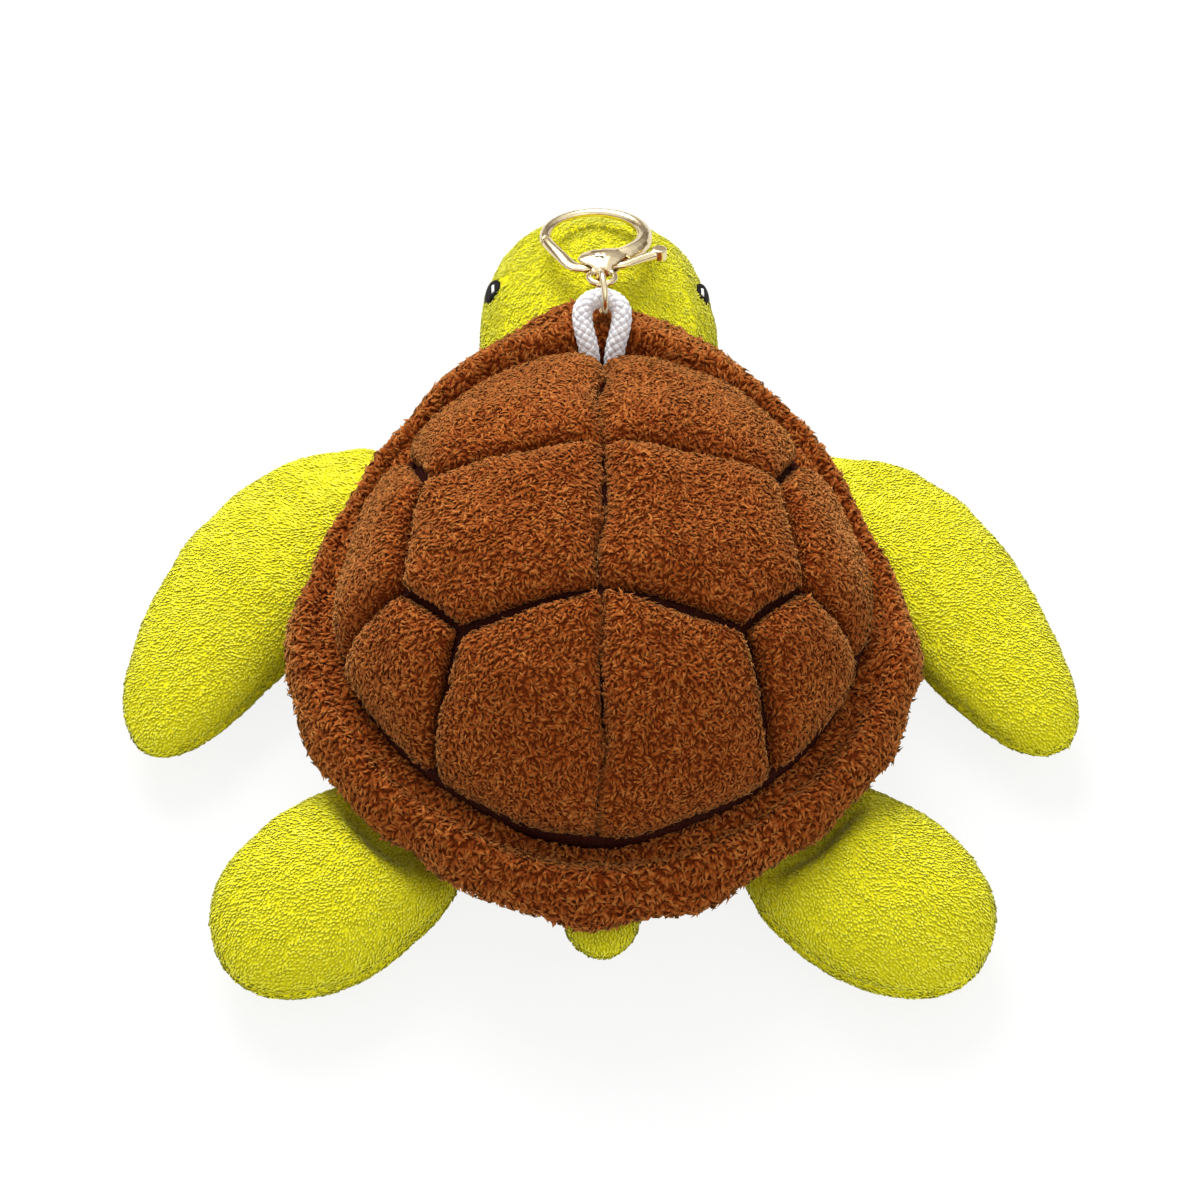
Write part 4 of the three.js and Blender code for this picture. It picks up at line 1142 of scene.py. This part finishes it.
class TURTLE_OT_scutes(bpy.types.Operator):
    """Stuffs the ten scutes, grows their pile and sews the quilting seams between them"""

    bl_idname = "turtle.scutes"
    bl_label = "Quilted scutes"

    def execute(self, context):
        for k, kind in enumerate(SCUTES):
            for name, side in SIDES:
                folds = REAR_FOLDS if kind == "scute_rear" and side < 0 else ()
                plush(
                    f"{kind}_{name}", "shell", "brown", downhill, voxel=0.75 * MM,
                    swell=0.9 * MM, seed=11 + 2 * k + (side > 0), sewn=(1.5 * MM, 0.75 * MM),
                    creases=folds,
                )
        thread = material("dark quilting thread and seam shade")
        tops, feet = seam_paths(SEAM_DEPTH), seam_paths(SEAM_DEPTH + 2)
        # Strips deep in each seam take the thread's near-black colour, as painted shade in the
        # gaps between the pads
        strips = [wall("strip", a, b, 2 * MM) for a, b in zip(tops, feet)]
        # The dome's foot is sewn to the brim all round, but for where the cord comes out; like the
        # seams' strips, its strip is near-black as painted shade in the gap
        turns = [
            math.radians(FOOT_SEAM_START + FOOT_SEAM_TURN * k / FOOT_SEAM_STEPS)
            for k in range(FOOT_SEAM_STEPS + 1)
        ]
        foot = [on_dome(math.cos(t), math.sin(t), -FOOT_SEAM_IN) for t in turns]
        up, down = (Vector((0, 0, z * MM)) for z in (FOOT_SEAM_UP, -FOOT_SEAM_DOWN))
        top, low = [p + up for p in foot], [p + down for p in foot]
        strips.append(wall("strip", top, low, FOOT_SEAM_THICK * MM))
        seams = join("seam_allowance_painted_shade", strips)
        finish_piece(seams, "shell", "brown_plush", thread)
        stitches = path_object("quilting_stitches", tops)
        sizes = {"Pitch": 2.6 * MM, "Stitch": 2.1 * MM, "Thread": 0.15 * MM}
        run_tree(stitches, stitch_tree(), {**sizes, "Material": thread})
        finish_piece(stitches, "shell", "brown_plush", None)
        return {"FINISHED"}


class TURTLE_OT_brim(bpy.types.Operator):
    """Stuffs the brim's roll with its sewn edge"""

    bl_idname = "turtle.brim"
    bl_label = "Brim"

    def execute(self, context):
        plush(
            "shell_brim", "shell", "brown",
            lambda p: Vector((p.x, p.y + 0.008, 0)).normalized() + Vector((0, 0, -0.4)),
            voxel=0.8 * MM, swell=1.5 * MM, seed=3, seam=(-0.6, 0.13, 0.9 * MM),
            sewn=(1.5 * MM, 1.3 * MM), filled=(8 * MM, 1.7 * MM),
        )
        return {"FINISHED"}


class TURTLE_OT_belly(bpy.types.Operator):
    """Stuffs the belly and the filling inside it"""

    bl_idname = "turtle.belly"
    bl_label = "Belly and filling"

    def execute(self, context):
        plush(
            "belly", "shell", "lime", lambda p: Vector((0, -1, 0)),
            voxel=1.2 * MM, swell=0.3 * MM, seed=5,
        )
        core = softened("loose_filling", "body_filling", 1.5 * MM, 6, 0)
        undulate(core, 0.5 * MM, 3 * MM, 6)
        finish_piece(
            core, "shell", "fibre_filling", material("polyester fibre filling"), "body_filling"
        )
        return {"FINISHED"}


class TURTLE_OT_head(bpy.types.Operator):
    """Stuffs the head, whose pile runs back from the nose"""

    bl_idname = "turtle.head"
    bl_label = "Head"

    def execute(self, context):
        plush(
            "head", "head", "lime", lambda p: Vector((p.x * 8, -0.6, 0.2)),
            voxel=0.75 * MM, swell=0.5 * MM, seed=21,
        )
        return {"FINISHED"}


class TURTLE_OT_limbs(bpy.types.Operator):
    """Stuffs the four flippers and the tail, sewn along their edges"""

    bl_idname = "turtle.limbs"
    bl_label = "Flippers and tail"

    def execute(self, context):
        for k, (kind, along) in enumerate(FLIPPER_ROOTS.items()):
            for name, side in SIDES:
                node = f"{kind}_{name}"
                root = Vector((side * 0.02, along, 0.01))
                plush(
                    node, node, "lime", lambda p, root=root: p - root, voxel=0.8 * MM,
                    swell=0.45 * MM, seed=31 + 2 * k + (side > 0), seam=(0.0, 0.2, 0.7 * MM),
                )
        plush(
            "tail", "shell", "lime", lambda p: Vector((0, -1, 0)),
            voxel=0.6 * MM, swell=0.3 * MM, seed=41, seam=(0.0, 0.25, 0.4 * MM),
        )
        return {"FINISHED"}


class TURTLE_OT_eyes(bpy.types.Operator):
    """Embroiders the eyes in satin stitch, with a stitched light in each"""

    bl_idname = "turtle.eyes"
    bl_label = "Eyes"

    def execute(self, context):
        rise = math.radians(EYE_SIZE["rise"])
        for name, side in SIDES:
            node = f"eye_{name}"
            low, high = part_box(node)
            out = Vector((side * math.cos(rise), 0, math.sin(rise)))
            upward = Vector((-side * math.sin(rise), 0, math.cos(rise)))
                # The right one sits a little lower, as the head is askew
            shown, lowered = EYE_ASKEW[name]
            middle = (low + high) / 2 - Vector((0, 0.6, 0)) * MM - upward * lowered * MM
            for part, slot, dye, rows, reach, lift, *replaced in (
                ("satin", "black_embroidery", "black", (-1, 1), (-1, 1), 0, node),
                ("light", "white_cord", "white", (0.5, 0.68), (-0.5, 0.35), 0.12 * MM),
            ):
                round_by = EYE_SIZE["round"] * shown
                piece = join(
                    f"{node}_{part}",
                    self.stitches(middle, out, upward, round_by, rows, reach, lift),
                )
                lean_aside(piece)
                looks = material(f"{dye} embroidery thread")
                finish_piece(piece, "head", slot, looks, *replaced)
        return {"FINISHED"}

    def stitches(self, middle, out, upward, round_by, rows, reach, lift):
        """Threads side by side over an oval, or over the share of it that rows and reach give."""
        threads = []
        ahead = Vector((0, 1, 0))
        radius = EYE_THREAD * MM
        count = round(round_by * (rows[1] - rows[0]) * MM / (1.5 * radius))
        for i in range(count):
            row = rows[0] + (rows[1] - rows[0]) * (i + 0.5) / count
            half = EYE_SIZE["along"] * math.sqrt(1 - row * row)
            line = []
            for k in range(7):
                u = half * (reach[0] + (reach[1] - reach[0]) * k / 6)
                edge = min(1, (u / EYE_SIZE["along"]) ** 2 + row * row)
                high = EYE_BULGE * math.sqrt(1 - edge) - EYE_CURVE * row * row - EYE_SINK
                line.append(
                    middle + ahead * u * MM + upward * row * round_by * MM
                    + out * (high * MM + lift)
                )
            threads.append(round_tube("thread", carried_frames(line), radius, 6))
        return threads


class TURTLE_OT_hardware(bpy.types.Operator):
    """Makes the jump ring, clasp, pin and spring, polished and plated"""

    bl_idname = "turtle.hardware"
    bl_label = "Clasp and ring"

    def execute(self, context):
        gold = material("pale gold plated casting")
        steel = material("bright steel wire")
        for node, body in (("clasp_body", "clasp"), ("clasp_lever", "lever")):
            cast = softened(f"{node}_cast", node, 0.17 * MM, 4, 0.03 * MM)
            finish_piece(cast, body, "pale_gold_metal", gold, node)
        turns = [
            2 * math.pi * (RING_GAP + (1 - 2 * RING_GAP) * k / RING_STEPS) + RING_GAP_AT
            for k in range(RING_STEPS + 1)
        ]
        lie = Matrix.Identity(3)
        for angle, axis in RING_ASKEW:
            lie = Matrix.Rotation(math.radians(angle), 3, axis) @ lie
        middle_line = [
            RING_MIDDLE + lie @ Vector((0, math.cos(t), math.sin(t))) * RING_RADIUS for t in turns
        ]
        ring = round_tube("jump_ring_wire", carried_frames(middle_line), RING_WIRE, 16)
        finish_piece(ring, "ring", "pale_gold_metal", gold, "jump_ring")
        for node in ("clasp_pin", "clasp_spring"):
            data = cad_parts[node].data
            data.materials.clear()
            data.materials.append(steel)
        return {"FINISHED"}


class TURTLE_PT_panel(bpy.types.Panel):
    """Lists the turtle's pieces in the order that they are made"""

    bl_idname = "TURTLE_PT_panel"
    bl_label = "Plush turtle"
    bl_space_type = "VIEW_3D"
    bl_region_type = "UI"
    bl_category = "Turtle"

    def draw(self, context):
        for made in OPERATORS:
            self.layout.operator(made.bl_idname)


OPERATORS = (
    TURTLE_OT_stage,
    TURTLE_OT_cord,
    TURTLE_OT_scutes,
    TURTLE_OT_brim,
    TURTLE_OT_belly,
    TURTLE_OT_head,
    TURTLE_OT_limbs,
    TURTLE_OT_eyes,
    TURTLE_OT_hardware,
)
SETTINGS = (TurtlePile, TurtleTrims, TurtleStage)


def register():
    for made in (*SETTINGS, *OPERATORS, TURTLE_PT_panel):
        bpy.utils.register_class(made)
    scene = bpy.types.Scene
    scene.turtle_pile = bpy.props.PointerProperty(type=TurtlePile)
    scene.turtle_trims = bpy.props.PointerProperty(type=TurtleTrims)
    scene.turtle_stage = bpy.props.PointerProperty(type=TurtleStage)


def unregister():
    for name in ("turtle_pile", "turtle_trims", "turtle_stage"):
        delattr(bpy.types.Scene, name)
    for made in (TURTLE_PT_panel, *reversed(OPERATORS), *SETTINGS):
        bpy.utils.unregister_class(made)


def main():
    register()
    bpy.ops.turtle.stage()
    bpy.ops.turtle.cord()
    bpy.ops.turtle.scutes()
    bpy.ops.turtle.brim()
    bpy.ops.turtle.belly()
    bpy.ops.turtle.head()
    bpy.ops.turtle.limbs()
    bpy.ops.turtle.eyes()
    bpy.ops.turtle.hardware()


if __name__ == "__main__":
    main()
